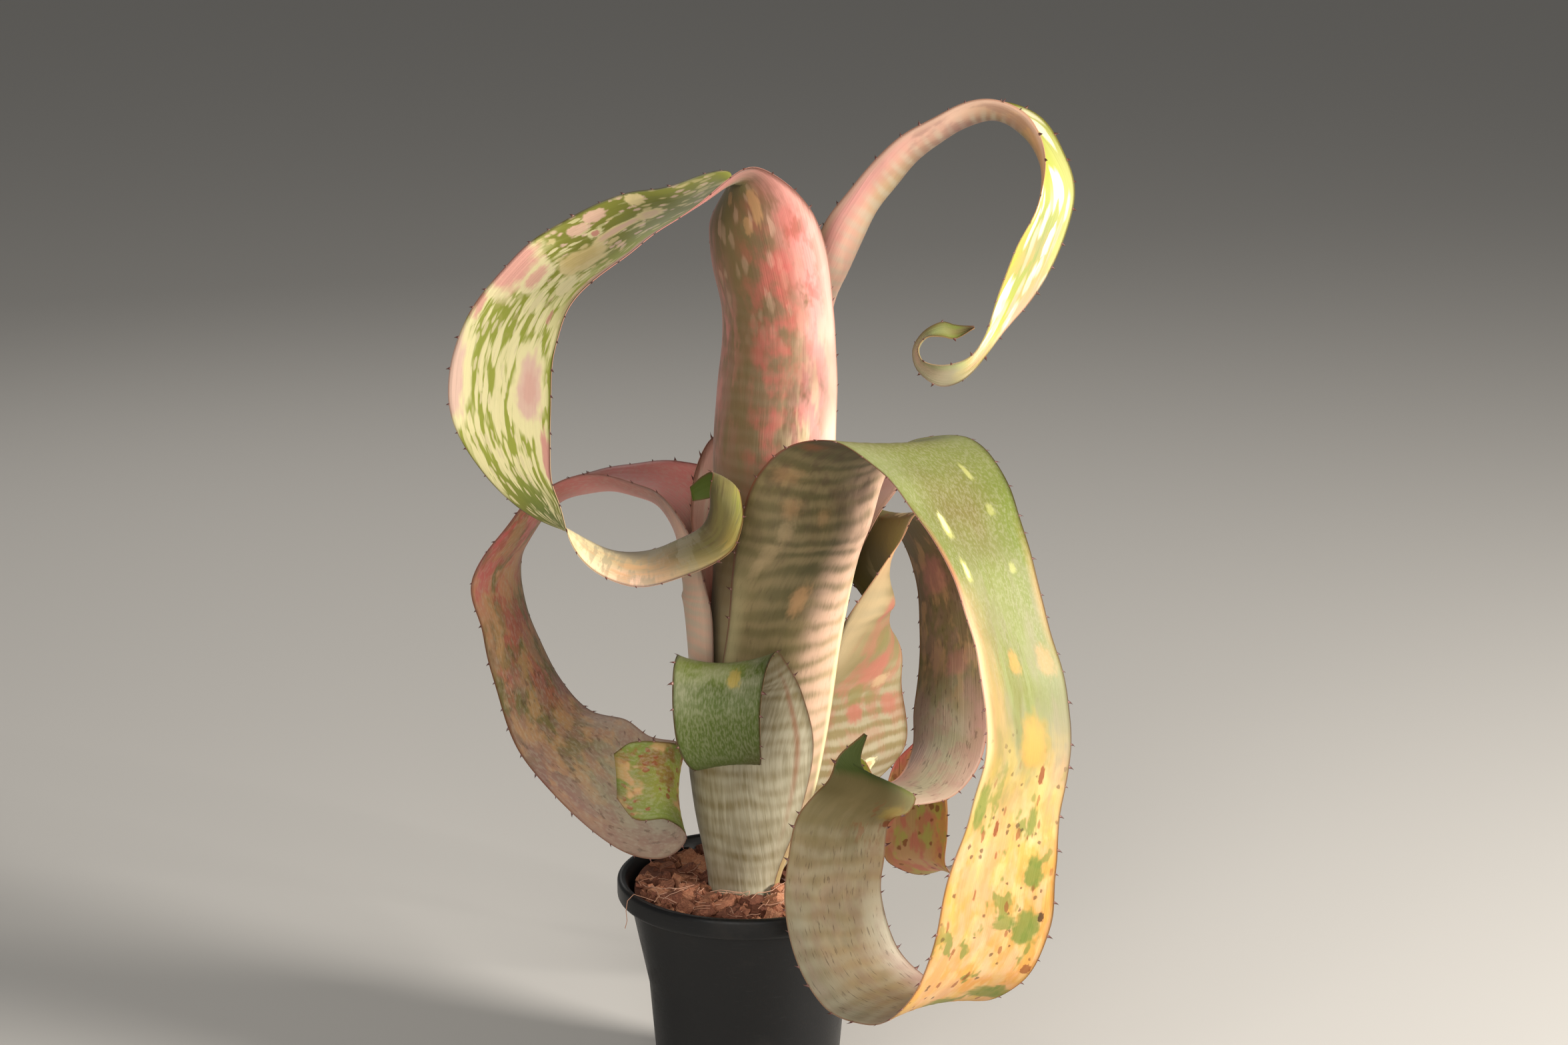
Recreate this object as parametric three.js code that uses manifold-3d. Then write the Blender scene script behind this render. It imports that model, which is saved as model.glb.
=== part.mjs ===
// A potted billbergia: a tube of nested leaf sheaths standing in a nursery pot of husk chips,
// with seven long leaves that bend out of the tube and roll up at their ends.
// Millimetres, +Z up. The origin is the centre of the pot's base; -Y is the front.
import * as THREE from 'three';
import { mergeVertices } from 'three/addons/utils/BufferGeometryUtils.js';
import Module from 'manifold-3d';

const wasm = await Module();
wasm.setup();

// Pot
const POT_HEIGHT = 95;
const RIM_RADIUS = 52.5;
const RIM_BAND = 9;
const NECK_RADIUS = 47.5;
const BELLY_RADIUS = 40;
const BELLY_HEIGHT = 50;
const FOOT_RADIUS = 36;
const WALL = 1.4;
const BASE_THICKNESS = 2;
const DRAIN_COUNT = 8;
const DRAIN_RADIUS = 4;
const DRAIN_CIRCLE = 25;
const ROUND_SEGMENTS = 36;

// Potting mix
const MIX_TOP = 90;
const MIX_GAP = 0.3;
const HOLE_RADIUS = 16.8;
const HOLE_FLOOR = 76;
const CHIP_COUNT = 44;
const CHIP_LENGTH = [7, 14];
const CHIP_WIDTH = [4, 8];
const CHIP_DEPTH = [2.5, 5];
const CHIP_TILT = 0.55;
const GOLDEN_TURN = 2.39996;
const CHIP_SEED = 11;

// Stock and leaves
const STOCK_FOOT_RADIUS = 5.6;
const STOCK_TOP_RADIUS = 3.6;
const STOCK_TOP = 112;
const LEAF_THICKNESS = 0.8;
const LEAF_FOOT = HOLE_FLOOR + MIX_GAP;
const TOOTH_PITCH = 18;
const TOOTH_BASE = 2.4;
const TOOTH_LEAN = 0.35;
const ROW_STEP = 8;
const LEAST_ROW_STEP = 3;
const GREATEST_TURN = 0.4; // radians from one row to the next
const OPENING = 35; // length over which a blade leaves the direction of the tube

// The tube of sheaths leans a little to the right: [height, offset of its axis]
const TUBE_LEAN = [[77, 0], [95, 0], [125, 3.5], [155, 5.5], [205, 9.5]];
const SHEATH_HEIGHTS = [LEAF_FOOT, 95, 125, 155, 205];

const FINISH = {
  pot: { color: 0x151618, roughness: 0.5, metalness: 0 },
  mix: { color: 0x5a3424, roughness: 0.95, metalness: 0 },
  stock: { color: 0x8a7a55, roughness: 0.8, metalness: 0 },
  banded: { color: 0x8f8c6e, roughness: 0.6, metalness: 0 },
  gold: { color: 0xb9b268, roughness: 0.55, metalness: 0 },
  spotted: { color: 0xb4b878, roughness: 0.5, metalness: 0 },
  rose: { color: 0xb98d7c, roughness: 0.6, metalness: 0 },
};

const UP = new THREE.Vector3(0, 0, 1);
const plant = new THREE.Group();

function seededRandom(seed) {
  let state = seed;
  return () => {
    state = (state * 1664525 + 1013904223) % 4294967296;
    return state / 4294967296;
  };
}

function addPiece(name, geometry, finish) {
  const mesh = new THREE.Mesh(geometry, new THREE.MeshStandardMaterial(finish));
  mesh.name = name;
  plant.add(mesh);
}

// Joining and cutting of closed solids

function toSolid(geometry) {
  const bare = geometry.clone();
  bare.deleteAttribute('normal');
  bare.deleteAttribute('uv');
  const merged = mergeVertices(bare, 1e-4);
  const vertProperties = new Float32Array(merged.attributes.position.array);
  const triVerts = new Uint32Array(merged.index.array);
  return new wasm.Manifold(new wasm.Mesh({ numProp: 3, vertProperties, triVerts }));
}

function toGeometry(solid) {
  const mesh = solid.getMesh();
  const geometry = new THREE.BufferGeometry();
  geometry.setAttribute('position', new THREE.BufferAttribute(mesh.vertProperties, 3));
  geometry.setIndex(new THREE.BufferAttribute(mesh.triVerts, 1));
  return geometry;
}

// The largest closed skin of a solid: hollows sealed inside it are filled and loose scraps are dropped.
function largestSkin(solid) {
  const skins = solid.decompose();
  return skins.reduce((best, skin) => (skin.volume() > best.volume() ? skin : best));
}

function turned(profile, segments) {
  const points = profile.map(([radius, height]) => new THREE.Vector2(radius, height));
  const geometry = new THREE.LatheGeometry(points, segments);
  geometry.rotateX(Math.PI / 2);
  return geometry;
}

function upright(radius, bottom, top, segments, topRadius = radius) {
  const geometry = new THREE.CylinderGeometry(topRadius, radius, top - bottom, segments);
  geometry.rotateX(Math.PI / 2);
  geometry.translate(0, 0, (top + bottom) / 2);
  return geometry;
}

// Pot and potting mix

function makePot() {
  const rimFoot = POT_HEIGHT - RIM_BAND;
  const profile = [
    [0, 0],
    [FOOT_RADIUS - 2, 0],
    [FOOT_RADIUS, 2],
    [BELLY_RADIUS, BELLY_HEIGHT],
    [NECK_RADIUS, rimFoot],
    [RIM_RADIUS - 1.2, rimFoot + 0.6],
    [RIM_RADIUS, rimFoot + 2.4],
    [RIM_RADIUS, POT_HEIGHT - 2],
    [RIM_RADIUS - 1, POT_HEIGHT - 0.4],
    [RIM_RADIUS - 2.2, POT_HEIGHT],
    [RIM_RADIUS - 3.6, POT_HEIGHT - 1],
    [NECK_RADIUS - WALL, rimFoot - 1],
    [BELLY_RADIUS - WALL, BELLY_HEIGHT],
    [FOOT_RADIUS - WALL, BASE_THICKNESS],
    [0, BASE_THICKNESS],
  ];
  let pot = toSolid(turned(profile, ROUND_SEGMENTS));
  for (let i = 0; i < DRAIN_COUNT; i += 1) {
    const angle = (i / DRAIN_COUNT) * 2 * Math.PI;
    const drain = upright(DRAIN_RADIUS, -1, BASE_THICKNESS + 1, 12);
    drain.translate(DRAIN_CIRCLE * Math.cos(angle), DRAIN_CIRCLE * Math.sin(angle), 0);
    pot = pot.subtract(toSolid(drain));
  }
  return toGeometry(pot);
}

function makeMix() {
  const inner = WALL + MIX_GAP;
  const bed = [
    [0, BASE_THICKNESS + MIX_GAP],
    [FOOT_RADIUS - inner - 0.3, BASE_THICKNESS + MIX_GAP],
    [BELLY_RADIUS - inner, BELLY_HEIGHT],
    [NECK_RADIUS - inner - 0.2, POT_HEIGHT - RIM_BAND - 1.5],
    [NECK_RADIUS - inner, MIX_TOP - 2],
    [NECK_RADIUS - inner - 4, MIX_TOP],
    [0, MIX_TOP],
  ];
  const random = seededRandom(CHIP_SEED);
  let mix = toSolid(turned(bed, ROUND_SEGMENTS));
  for (let i = 0; i < CHIP_COUNT; i += 1) {
    const spread = (i + 0.5) / CHIP_COUNT;
    const radius = HOLE_RADIUS + 5 + (NECK_RADIUS - HOLE_RADIUS - 14) * Math.sqrt(spread);
    const angle = i * GOLDEN_TURN + random() * 0.5;
    const between = ([least, most]) => least + (most - least) * random();
    const chip = new THREE.BoxGeometry(between(CHIP_LENGTH), between(CHIP_WIDTH), between(CHIP_DEPTH));
    chip.rotateX(between([-CHIP_TILT, CHIP_TILT]));
    chip.rotateY(between([-CHIP_TILT, CHIP_TILT]));
    chip.rotateZ(between([0, Math.PI]));
    chip.translate(radius * Math.cos(angle), radius * Math.sin(angle), MIX_TOP + 0.4 + random() * 1.4);
    mix = mix.add(toSolid(chip));
  }
  mix = mix.subtract(toSolid(upright(HOLE_RADIUS, HOLE_FLOOR, POT_HEIGHT + 20, 24)));
  return toGeometry(largestSkin(mix));
}

// Leaves. A station is [left margin, right margin, bow]: the leaf is looked at from its outer side with
// its tip up, and bow is how far its middle stands out from the line between the margins.

function tubeAxis(height) {
  for (let i = 1; i < TUBE_LEAN.length; i += 1) {
    const [low, lowX] = TUBE_LEAN[i - 1];
    const [high, highX] = TUBE_LEAN[i];
    if (height <= high) return lowX + ((highX - lowX) * (height - low)) / (high - low);
  }
  return TUBE_LEAN[TUBE_LEAN.length - 1][1];
}

// Sheath stations wrap the tube from one bearing to another; bearings are degrees from +X.
function sheath(fromBearing, toBearing, radii) {
  return radii.map((radius, i) => {
    const height = SHEATH_HEIGHTS[i];
    const axis = tubeAxis(height);
    const from = THREE.MathUtils.degToRad(fromBearing);
    const to = THREE.MathUtils.degToRad(toBearing);
    const left = [axis + radius * Math.cos(from), radius * Math.sin(from), height];
    const right = [axis + radius * Math.cos(to), radius * Math.sin(to), height];
    return [left, right, radius * (1 - Math.cos((to - from) / 2))];
  });
}

// A smooth curve through values at uneven knots.
function smooth(knots, values, t) {
  let i = 0;
  while (i < knots.length - 2 && t > knots[i + 1]) i += 1;
  const slope = (k) => {
    const before = Math.max(k - 1, 0);
    const after = Math.min(k + 1, knots.length - 1);
    return (values[after] - values[before]) / (knots[after] - knots[before]);
  };
  const span = knots[i + 1] - knots[i];
  const u = (t - knots[i]) / span;
  const u2 = u * u;
  const u3 = u2 * u;
  return (2 * u3 - 3 * u2 + 1) * values[i] + (u3 - 2 * u2 + u) * span * slope(i)
    + (3 * u2 - 2 * u3) * values[i + 1] + (u3 - u2) * span * slope(i + 1);
}

class Leaf {
  constructor(stations, columns, sheathStations) {
    this.stations = stations;
    this.columns = columns;
    const middles = stations.map(([left, right]) => left.map((value, i) => (value + right[i]) / 2));
    this.knots = [0];
    for (let i = 1; i < middles.length; i += 1) {
      const step = new THREE.Vector3(...middles[i]).distanceTo(new THREE.Vector3(...middles[i - 1]));
      this.knots.push(this.knots[i - 1] + Math.max(step, 3));
    }
    this.sheathEnd = this.knots[sheathStations - 1];
    this.length = this.knots[this.knots.length - 1];
  }

  margin(side, t) {
    const axis = [0, 1, 2].map((k) => smooth(this.knots, this.stations.map((s) => s[side][k]), t));
    return new THREE.Vector3(...axis);
  }

  middle(t) {
    return this.margin(0, t).add(this.margin(1, t)).multiplyScalar(0.5);
  }

  travel(t) {
    const from = Math.max(t - 1, 0);
    const to = Math.min(t + 1, this.length);
    const along = this.middle(to).sub(this.middle(from)).normalize();
    const opened = THREE.MathUtils.smoothstep(t, this.sheathEnd, this.sheathEnd + OPENING);
    return UP.clone().lerp(along, opened).normalize();
  }

  // Points across the leaf on a circular arc through both margins.
  section(t) {
    const left = this.margin(0, t);
    const right = this.margin(1, t);
    const across = right.clone().sub(left);
    const chord = across.length();
    across.normalize();
    const outward = across.clone().cross(this.travel(t)).normalize();
    const bow = Math.max(smooth(this.knots, this.stations.map((s) => s[2]), t), 0.05);
    const radius = (chord * chord / 4 + bow * bow) / (2 * bow);
    const half = 2 * Math.atan2(2 * bow, chord);
    const middle = left.clone().add(right).multiplyScalar(0.5);
    const points = [];
    for (let j = 0; j <= this.columns; j += 1) {
      const angle = ((2 * j) / this.columns - 1) * half;
      const point = middle.clone().addScaledVector(across, radius * Math.sin(angle));
      points.push(point.addScaledVector(outward, radius * (Math.cos(angle) - Math.cos(half))));
    }
    return points;
  }

  // Rows along the leaf: plain ones on the sheath, then a pair for each pair of teeth and one between.
  rows() {
    const rows = [];
    for (let t = 0; t < this.sheathEnd; t += 2 * ROW_STEP) rows.push({ t, tooth: false });
    for (let t = this.sheathEnd; t < this.length - TOOTH_PITCH / 2; t += TOOTH_PITCH) {
      rows.push({ t, tooth: true });
      rows.push({ t: t + TOOTH_BASE, tooth: false });
      rows.push({ t: t + TOOTH_BASE + (TOOTH_PITCH - TOOTH_BASE) / 2, tooth: false });
    }
    const spaced = rows.filter((row) => row.t < this.length - LEAST_ROW_STEP);
    return this.closer([...spaced, { t: this.length, tooth: false }]);
  }

  // More rows where the leaf twists or bends sharply.
  closer(rows) {
    const result = [rows[0]];
    for (let i = 1; i < rows.length; i += 1) {
      const from = rows[i - 1];
      const span = rows[i].t - from.t;
      const wanted = from.tooth ? 1 : Math.ceil(this.turn(from.t, rows[i].t) / GREATEST_TURN);
      const parts = Math.max(Math.min(wanted, Math.floor(span / LEAST_ROW_STEP)), 1);
      for (let k = 1; k < parts; k += 1) result.push({ t: from.t + (span * k) / parts, tooth: false });
      result.push(rows[i]);
    }
    return result;
  }

  turn(from, to) {
    const across = (t) => this.margin(1, t).sub(this.margin(0, t));
    return Math.max(across(from).angleTo(across(to)), this.travel(from).angleTo(this.travel(to)));
  }
}

function surfaceNormals(grid) {
  return grid.map((row, i) => row.map((point, j) => {
    const before = grid[Math.max(i - 1, 0)][j];
    const after = grid[Math.min(i + 1, grid.length - 1)][j];
    const along = after.clone().sub(before);
    const across = row[Math.min(j + 1, row.length - 1)].clone().sub(row[Math.max(j - 1, 0)]);
    return along.cross(across).normalize();
  }));
}

function makeLeaf(leaf, toothLength) {
  const rows = leaf.rows();
  const grid = rows.map(({ t }) => leaf.section(t));
  const normals = surfaceNormals(grid);
  const wide = leaf.columns + 1;
  const positions = [];
  for (const side of [0.5, -0.5]) {
    grid.forEach((row, i) => row.forEach((point, j) => {
      positions.push(point.clone().addScaledVector(normals[i][j], side * LEAF_THICKNESS));
    }));
  }
  const inner = (i, j) => i * wide + j;
  const outer = (i, j) => (rows.length + i) * wide + j;
  const faces = [];
  const quad = (a, b, c, d) => faces.push([a, b, c], [a, c, d]);
  for (let i = 0; i < rows.length - 1; i += 1) {
    for (let j = 0; j < leaf.columns; j += 1) {
      quad(inner(i, j), inner(i + 1, j), inner(i + 1, j + 1), inner(i, j + 1));
      faces.push([outer(i, j), outer(i + 1, j + 1), outer(i + 1, j)]);
      faces.push([outer(i, j), outer(i, j + 1), outer(i + 1, j + 1)]);
    }
  }
  const last = rows.length - 1;
  for (let j = 0; j < leaf.columns; j += 1) {
    quad(inner(0, j), inner(0, j + 1), outer(0, j + 1), outer(0, j));
    quad(inner(last, j + 1), inner(last, j), outer(last, j), outer(last, j + 1));
  }
  addMargin(0, 1, (a, b, c, d) => [d, c, b, a]);
  addMargin(leaf.columns, leaf.columns - 1, (a, b, c, d) => [a, b, c, d]);

  // The wall along one margin, drawn out to a point where the row carries a tooth.
  function addMargin(edge, beside, order) {
    for (let i = 0; i < last; i += 1) {
      const [a, b, c, d] = order(inner(i, edge), inner(i + 1, edge), outer(i + 1, edge), outer(i, edge));
      if (rows[i].tooth) {
        const wall = [a, b, c, d];
        const apex = new THREE.Vector3();
        wall.forEach((index) => apex.addScaledVector(positions[index], 0.25));
        const out = grid[i][edge].clone().sub(grid[i][beside]).normalize();
        const along = grid[i + 1][edge].clone().sub(grid[i][edge]).normalize();
        apex.addScaledVector(out, toothLength).addScaledVector(along, TOOTH_LEAN * toothLength);
        positions.push(apex);
        const tip = positions.length - 1;
        wall.forEach((index, k) => faces.push([index, wall[(k + 1) % 4], tip]));
      } else {
        quad(a, b, c, d);
      }
    }
  }

  const geometry = new THREE.BufferGeometry();
  geometry.setAttribute('position', new THREE.Float32BufferAttribute(
    positions.flatMap((point) => [point.x, point.y, point.z]), 3));
  geometry.setIndex(faces.flat());
  return geometry;
}

// Front lower leaf: short, bends forward and rolls back under itself.
const FRONT_LOWER = [
  ...sheath(-225, -45, [15.2, 15.7, 24.5, 29.5]),
  [[-25.5, 2, 177], [22, -28, 179], 18],
  [[-25, -28, 192], [16, -37, 194], 9],
  [[-26, -44, 200], [12, -49, 202], 4],
  [[-27, -58, 197], [8, -60, 198], 3],
  [[-27, -66, 184], [6, -67, 185], 2.5],
  [[-25, -64, 168], [6, -65, 171], 2],
  [[-20, -56, 158], [6, -58, 161], 1.5],
  [[-14, -46, 157], [4, -47, 159], 1],
  [[-8, -41, 164], [0, -41, 165], 0.6],
];

// Front right leaf: the largest, goes over to the right and ends in a coil in front of the rim.
const FRONT_RIGHT = [
  ...sheath(-135, -22.5, [13.9, 14.4, 23.1, 28]),
  [[-7, -27, 205], [38.6, -12, 205], 11],
  [[-3, -31, 243], [48, 6, 240], 19],
  [[9, -37, 275], [62, 6, 271], 9],
  [[31, -46, 284], [84, -10, 277], 2.5],
  [[51, -62, 275], [96, -30, 272], 3],
  [[67, -78, 258], [103, -48, 256], 4],
  [[79, -92, 235], [110, -62, 232], 3],
  [[86, -100, 210], [118, -72, 203], 3],
  [[88, -103, 182], [122, -78, 175], 2.5],
  [[83, -104, 156], [118, -84, 150], 2.5],
  [[75, -104, 132], [116, -87, 127], 2.5],
  [[71, -104, 110], [115, -88, 106], 2.5],
  [[66, -103, 91], [106, -85, 85], 3],
  [[57, -97, 76], [93, -75, 72], 3],
  [[46, -86, 66], [80, -66, 70], 3],
  [[31, -73, 67], [68, -60, 76], 3],
  [[20, -67, 83], [58, -59, 88], 3],
  [[15, -66, 108], [52, -62, 110], 3],
  [[17, -69, 132], [53, -68, 128], 2],
  [[20, -72, 145], [54, -66, 138], 2],
  [[26, -72, 153], [57, -61, 140], 2],
  [[31, -68, 157], [63, -56, 141], 2],
  [[33, -65, 160], [65, -52, 146], 2],
  [[34, -63, 163], [57, -53, 150], 1.5],
  [[36, -62, 166], [48, -56, 155], 1],
  [[39, -62, 169], [44, -59, 162], 0.6],
  [[45, -64, 175], [46.2, -63.6, 174], 0.3],
];

// Left back leaf: a channelled arch that comes down on the left and rolls toward the front.
const LEFT_BACK = [
  ...sheath(45, 225, [12.9, 13.4, 21.7, 26.3]),
  [[28, 22, 205], [-13, -20, 205], 33],
  [[13, 38, 228], [-16, -21, 222], 24],
  [[2, 40, 243], [-21, -17, 238], 20],
  [[-12, 42, 252], [-29, -8, 249], 15],
  [[-28, 43, 256], [-38, 0, 255], 11],
  [[-44, 49, 254], [-50, 9, 257], 9],
  [[-62, 58, 249], [-66, 20, 255], 8],
  [[-79, 66, 239], [-84, 30, 246], 7],
  [[-91, 71, 221], [-99, 36, 229], 5],
  [[-95, 70, 200], [-112, 39, 206], 4],
  [[-90, 68, 180], [-109, 39, 184], 4],
  [[-80, 60, 160], [-103, 36, 161], 4],
  [[-65, 47, 149], [-94, 28, 138], 3],
  [[-50, 31, 150], [-75, 15, 119], 3],
  [[-39, 12, 149], [-52, -2, 106], 3],
  [[-29, -3, 152], [-34, -16, 107], 3],
  [[-23, -22, 156], [-23, -31, 121], 3],
  [[-31, -35, 162], [-31, -43, 133], 2],
  [[-44, -38, 163], [-43, -45, 134], 2],
  [[-51, -37, 158], [-50, -41, 141], 1],
];

// Right back leaf: its sheath spreads to the right, the blade turns over backward and sweeps to the left.
const RIGHT_BACK = [
  ...sheath(-90, 22.5, [12.6, 13.1]),
  [[3.6, -18.4, 118], [40, 14, 118], 2.6],
  [[10.5, -21, 143], [63.5, 16.8, 143], 0.2],
  [[11, -26, 171], [62, 14, 171], 0.5],
  [[29, -15, 187], [60, 24, 187], 7],
  [[39, -9, 204], [46, 29, 204], 16],
  [[52, -8, 222], [37, 32, 218], 12],
  [[60, -4, 234], [37, 37, 230], 6],
  [[66, 7, 242], [43, 45, 237], 3],
  [[77, 26, 240], [55, 58, 230], 3],
  [[87, 38, 224], [67, 63, 211], 3],
  [[94, 44, 203], [71, 63, 190], 3],
  [[98, 44, 178], [71, 60, 166], 3],
  [[99, 34, 155], [69, 48, 149], 3],
  [[95, 16, 138], [67, 28, 138], 3],
  [[83, -4, 130], [60, 3, 134], 2],
  [[68, -18, 130], [49, -13, 137], 2],
  [[55, -24, 136], [43, -20, 144], 1],
  [[47, -24, 150], [43, -23, 153], 0.5],
];

// Back leaf: wide shoulders behind the tube, then over the back and down in a large roll.
const BACK = [
  ...sheath(0, 180, [10.9, 11.4, 19.1, 23.3]),
  [[36, 1, 205], [-17, 0, 205], 25],
  [[44, 7, 225], [-20, 2, 228], 28],
  [[52, 14, 240], [-22, 4, 243], 28],
  [[61, 24, 251], [-20, 11, 260], 24],
  [[58, 38, 254], [-12, 24, 271], 16],
  [[52, 54, 254], [4, 38, 266], 9],
  [[56, 68, 251], [18, 54, 256], 5],
  [[72, 84, 244], [40, 76, 247], 4],
  [[92, 94, 230], [66, 96, 232], 3],
  [[110, 100, 200], [87, 108, 200], 3],
  [[125, 102, 165], [103, 111, 164], 3],
  [[130, 101, 130], [108, 112, 128], 3],
  [[128, 97, 98], [106, 110, 94], 3],
  [[116, 89, 74], [100, 104, 68], 3],
  [[95, 78, 63], [76, 94, 59], 3],
  [[84, 68, 72], [60, 84, 68], 3],
  [[84, 63, 88], [57, 78, 86], 3],
  [[84, 62, 104], [58, 74, 104], 2],
  [[82, 64, 118], [62, 72, 118], 1],
  [[73, 68, 128], [70, 69, 128], 0.5],
];

// Front inner leaf: stands up tall, goes over to the left and swings round in one large loop.
const FRONT_INNER = [
  ...sheath(-225, -45, [9.1, 9.6, 16.7, 20.6, 23.3]),
  [[-12, 8, 243], [34, -9, 243], 22],
  [[-12, 8, 278], [35, -10, 276], 20],
  [[-9, 6, 323], [34, -12, 325], 17],
  [[-14, 4, 357], [27, -22, 363], 14],
  [[-6, -3, 379], [5, -38, 386], 6],
  [[-34, -18, 375], [-16, -55, 374], 5],
  [[-57, -32, 370], [-37, -66, 361], 5],
  [[-81, -46, 357], [-58, -72, 345], 4],
  [[-101, -56, 333], [-68, -76, 325], 3],
  [[-109, -62, 306], [-70, -77, 300], 3],
  [[-102, -60, 283], [-70, -76, 279], 3],
  [[-85, -52, 260], [-67, -73, 262], 2],
  [[-67, -38, 246], [-63, -69, 249], 2],
  [[-52, -33, 239], [-53, -66, 237], 2],
  [[-38, -32, 238], [-38, -63, 232], 2],
  [[-25, -36, 243], [-19, -60, 236], 2],
  [[-16, -41, 250], [-5, -58, 244], 2],
  [[-13, -44, 258], [-1, -56, 254], 2],
  [[-13, -45, 265], [-1, -51, 261], 1.5],
  [[-12, -42, 270], [-3, -43, 265], 1],
  [[-13, -37, 270], [-8, -36, 261], 1],
  [[-17, -34, 267], [-15, -32, 258], 1],
  [[-21, -33, 263], [-20, -31, 257], 0.5],
];

// Innermost leaf: narrow and deeply channelled, arches to the upper right and ends in a small curl.
const INNERMOST = [
  ...sheath(-135, 45, [7.4, 7.9, 14.5, 18.1, 20.6]),
  [[2, -6, 245], [24, 14, 245], 14],
  [[6, 0, 280], [26, 18, 280], 12],
  [[14, 8, 315], [26, 26, 315], 12],
  [[30, 2, 358], [36, 18, 354], 12.5],
  [[49, -2, 383], [54, 14, 379], 10],
  [[73, -8, 402], [76, 8, 399], 8],
  [[91, -13, 408], [94, 2, 405], 7.5],
  [[106, -19, 402], [112, -4, 400], 8],
  [[112, -26, 387], [122, -12, 385], 6],
  [[110, -30, 371], [124, -18, 370], 4],
  [[101, -32, 354], [118, -22, 351], 3],
  [[95, -33, 337], [109, -26, 335], 2],
  [[90, -33, 321], [97, -29, 321], 1],
  [[84, -33, 313], [84, -34, 306], 1],
  [[75, -37, 311], [74, -33, 302], 1],
  [[67, -39, 313], [65, -33, 308], 1],
  [[65, -40, 318], [63, -33, 316], 1],
  [[68, -39, 322], [67, -33, 323], 1],
  [[74, -38, 322], [74, -34, 327], 1],
  [[79, -37, 321], [79, -35, 326], 1],
  [[86, -36.6, 325], [86, -35.4, 325.6], 0.3],
];

const LEAVES = [
  { name: 'leaf_front_lower', stations: FRONT_LOWER, columns: 8, wrapped: 5, tooth: 3, finish: 'banded' },
  { name: 'leaf_front_right', stations: FRONT_RIGHT, columns: 5, wrapped: 5, tooth: 3, finish: 'gold' },
  { name: 'leaf_left_back', stations: LEFT_BACK, columns: 4, wrapped: 5, tooth: 2.6, finish: 'rose' },
  { name: 'leaf_right_back', stations: RIGHT_BACK, columns: 5, wrapped: 2, tooth: 2.6, finish: 'rose' },
  { name: 'leaf_back', stations: BACK, columns: 4, wrapped: 4, tooth: 3.2, finish: 'rose' },
  { name: 'leaf_front_inner', stations: FRONT_INNER, columns: 4, wrapped: 5, tooth: 2.6, finish: 'spotted' },
  { name: 'leaf_innermost', stations: INNERMOST, columns: 4, wrapped: 5, tooth: 2.6, finish: 'spotted' },
];

addPiece('pot', makePot(), FINISH.pot);
addPiece('potting_mix', makeMix(), FINISH.mix);
addPiece('stock', upright(STOCK_FOOT_RADIUS, LEAF_FOOT, STOCK_TOP, 12, STOCK_TOP_RADIUS), FINISH.stock);
for (const { name, stations, columns, wrapped, tooth, finish } of LEAVES) {
  addPiece(name, makeLeaf(new Leaf(stations, columns, wrapped), tooth), FINISH[finish]);
}

export default plant;
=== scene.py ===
# %% [markdown]
# # A potted billbergia
#
# The plant is a narrow tube of leaf sheaths that stands in a nursery pot of husk chips. Seven long
# leaves bend out of the tube and roll up at their ends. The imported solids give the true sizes, and
# this lesson dresses them: fine leaf surfaces with curved spines, painted skins, loose chips and a
# pot with a rolled rim. The shapes are typed in millimetres and turned into metres with MM. What a
# node group takes is in metres.

import math

import bmesh
import bpy
import numpy as np
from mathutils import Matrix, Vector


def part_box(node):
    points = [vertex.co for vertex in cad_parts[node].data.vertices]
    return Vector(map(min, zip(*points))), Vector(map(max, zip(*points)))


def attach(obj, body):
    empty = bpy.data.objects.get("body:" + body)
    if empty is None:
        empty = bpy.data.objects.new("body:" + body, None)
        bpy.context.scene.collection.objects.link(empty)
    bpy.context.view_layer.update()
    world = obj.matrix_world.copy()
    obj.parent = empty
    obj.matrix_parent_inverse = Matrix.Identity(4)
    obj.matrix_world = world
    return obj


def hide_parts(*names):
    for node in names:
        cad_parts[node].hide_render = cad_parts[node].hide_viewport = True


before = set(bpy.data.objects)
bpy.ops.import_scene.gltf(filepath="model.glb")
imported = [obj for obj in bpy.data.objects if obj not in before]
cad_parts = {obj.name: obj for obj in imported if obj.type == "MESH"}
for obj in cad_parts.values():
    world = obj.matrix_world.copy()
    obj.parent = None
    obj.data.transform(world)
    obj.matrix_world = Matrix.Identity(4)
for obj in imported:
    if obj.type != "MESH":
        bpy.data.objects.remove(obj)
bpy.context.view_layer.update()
MM = 0.001
TURN = 2 * math.pi
BODY = "root"
print("solids", sorted(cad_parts))

# %% [markdown]
# The camera looks along +Y from a little above the leaves, tilted 14 degrees down, with a lens of
# 70 mm. From the front it shows the plant as a standing viewer would see it on a low bench.

# %% Camera
LENS = 70
SENSOR = 36
TILT_DOWN = 14
CAMERA_PLACE = (14.8 * MM, -1160.2 * MM, 530.2 * MM)


def make_camera():
    data = bpy.data.cameras.new("camera")
    data.lens = LENS
    data.sensor_width = SENSOR
    camera = bpy.data.objects.new("camera", data)
    camera.location = CAMERA_PLACE
    camera.rotation_euler = (math.radians(90 - TILT_DOWN), 0, 0)
    bpy.context.scene.collection.objects.link(camera)
    bpy.context.scene.camera = camera
    bpy.context.scene.view_settings.view_transform = "Standard"


make_camera()
print("camera lens", LENS, "mm, tilted", TILT_DOWN, "degrees down")

# %% [markdown]
# Soft studio light: a lamp on the right shapes the round sheaths, a wide weak one stands in front, a
# little to the left, and a weak one behind draws the leaf edges. The floor is plain and pale, and
# isn't part of the plant.

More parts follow.
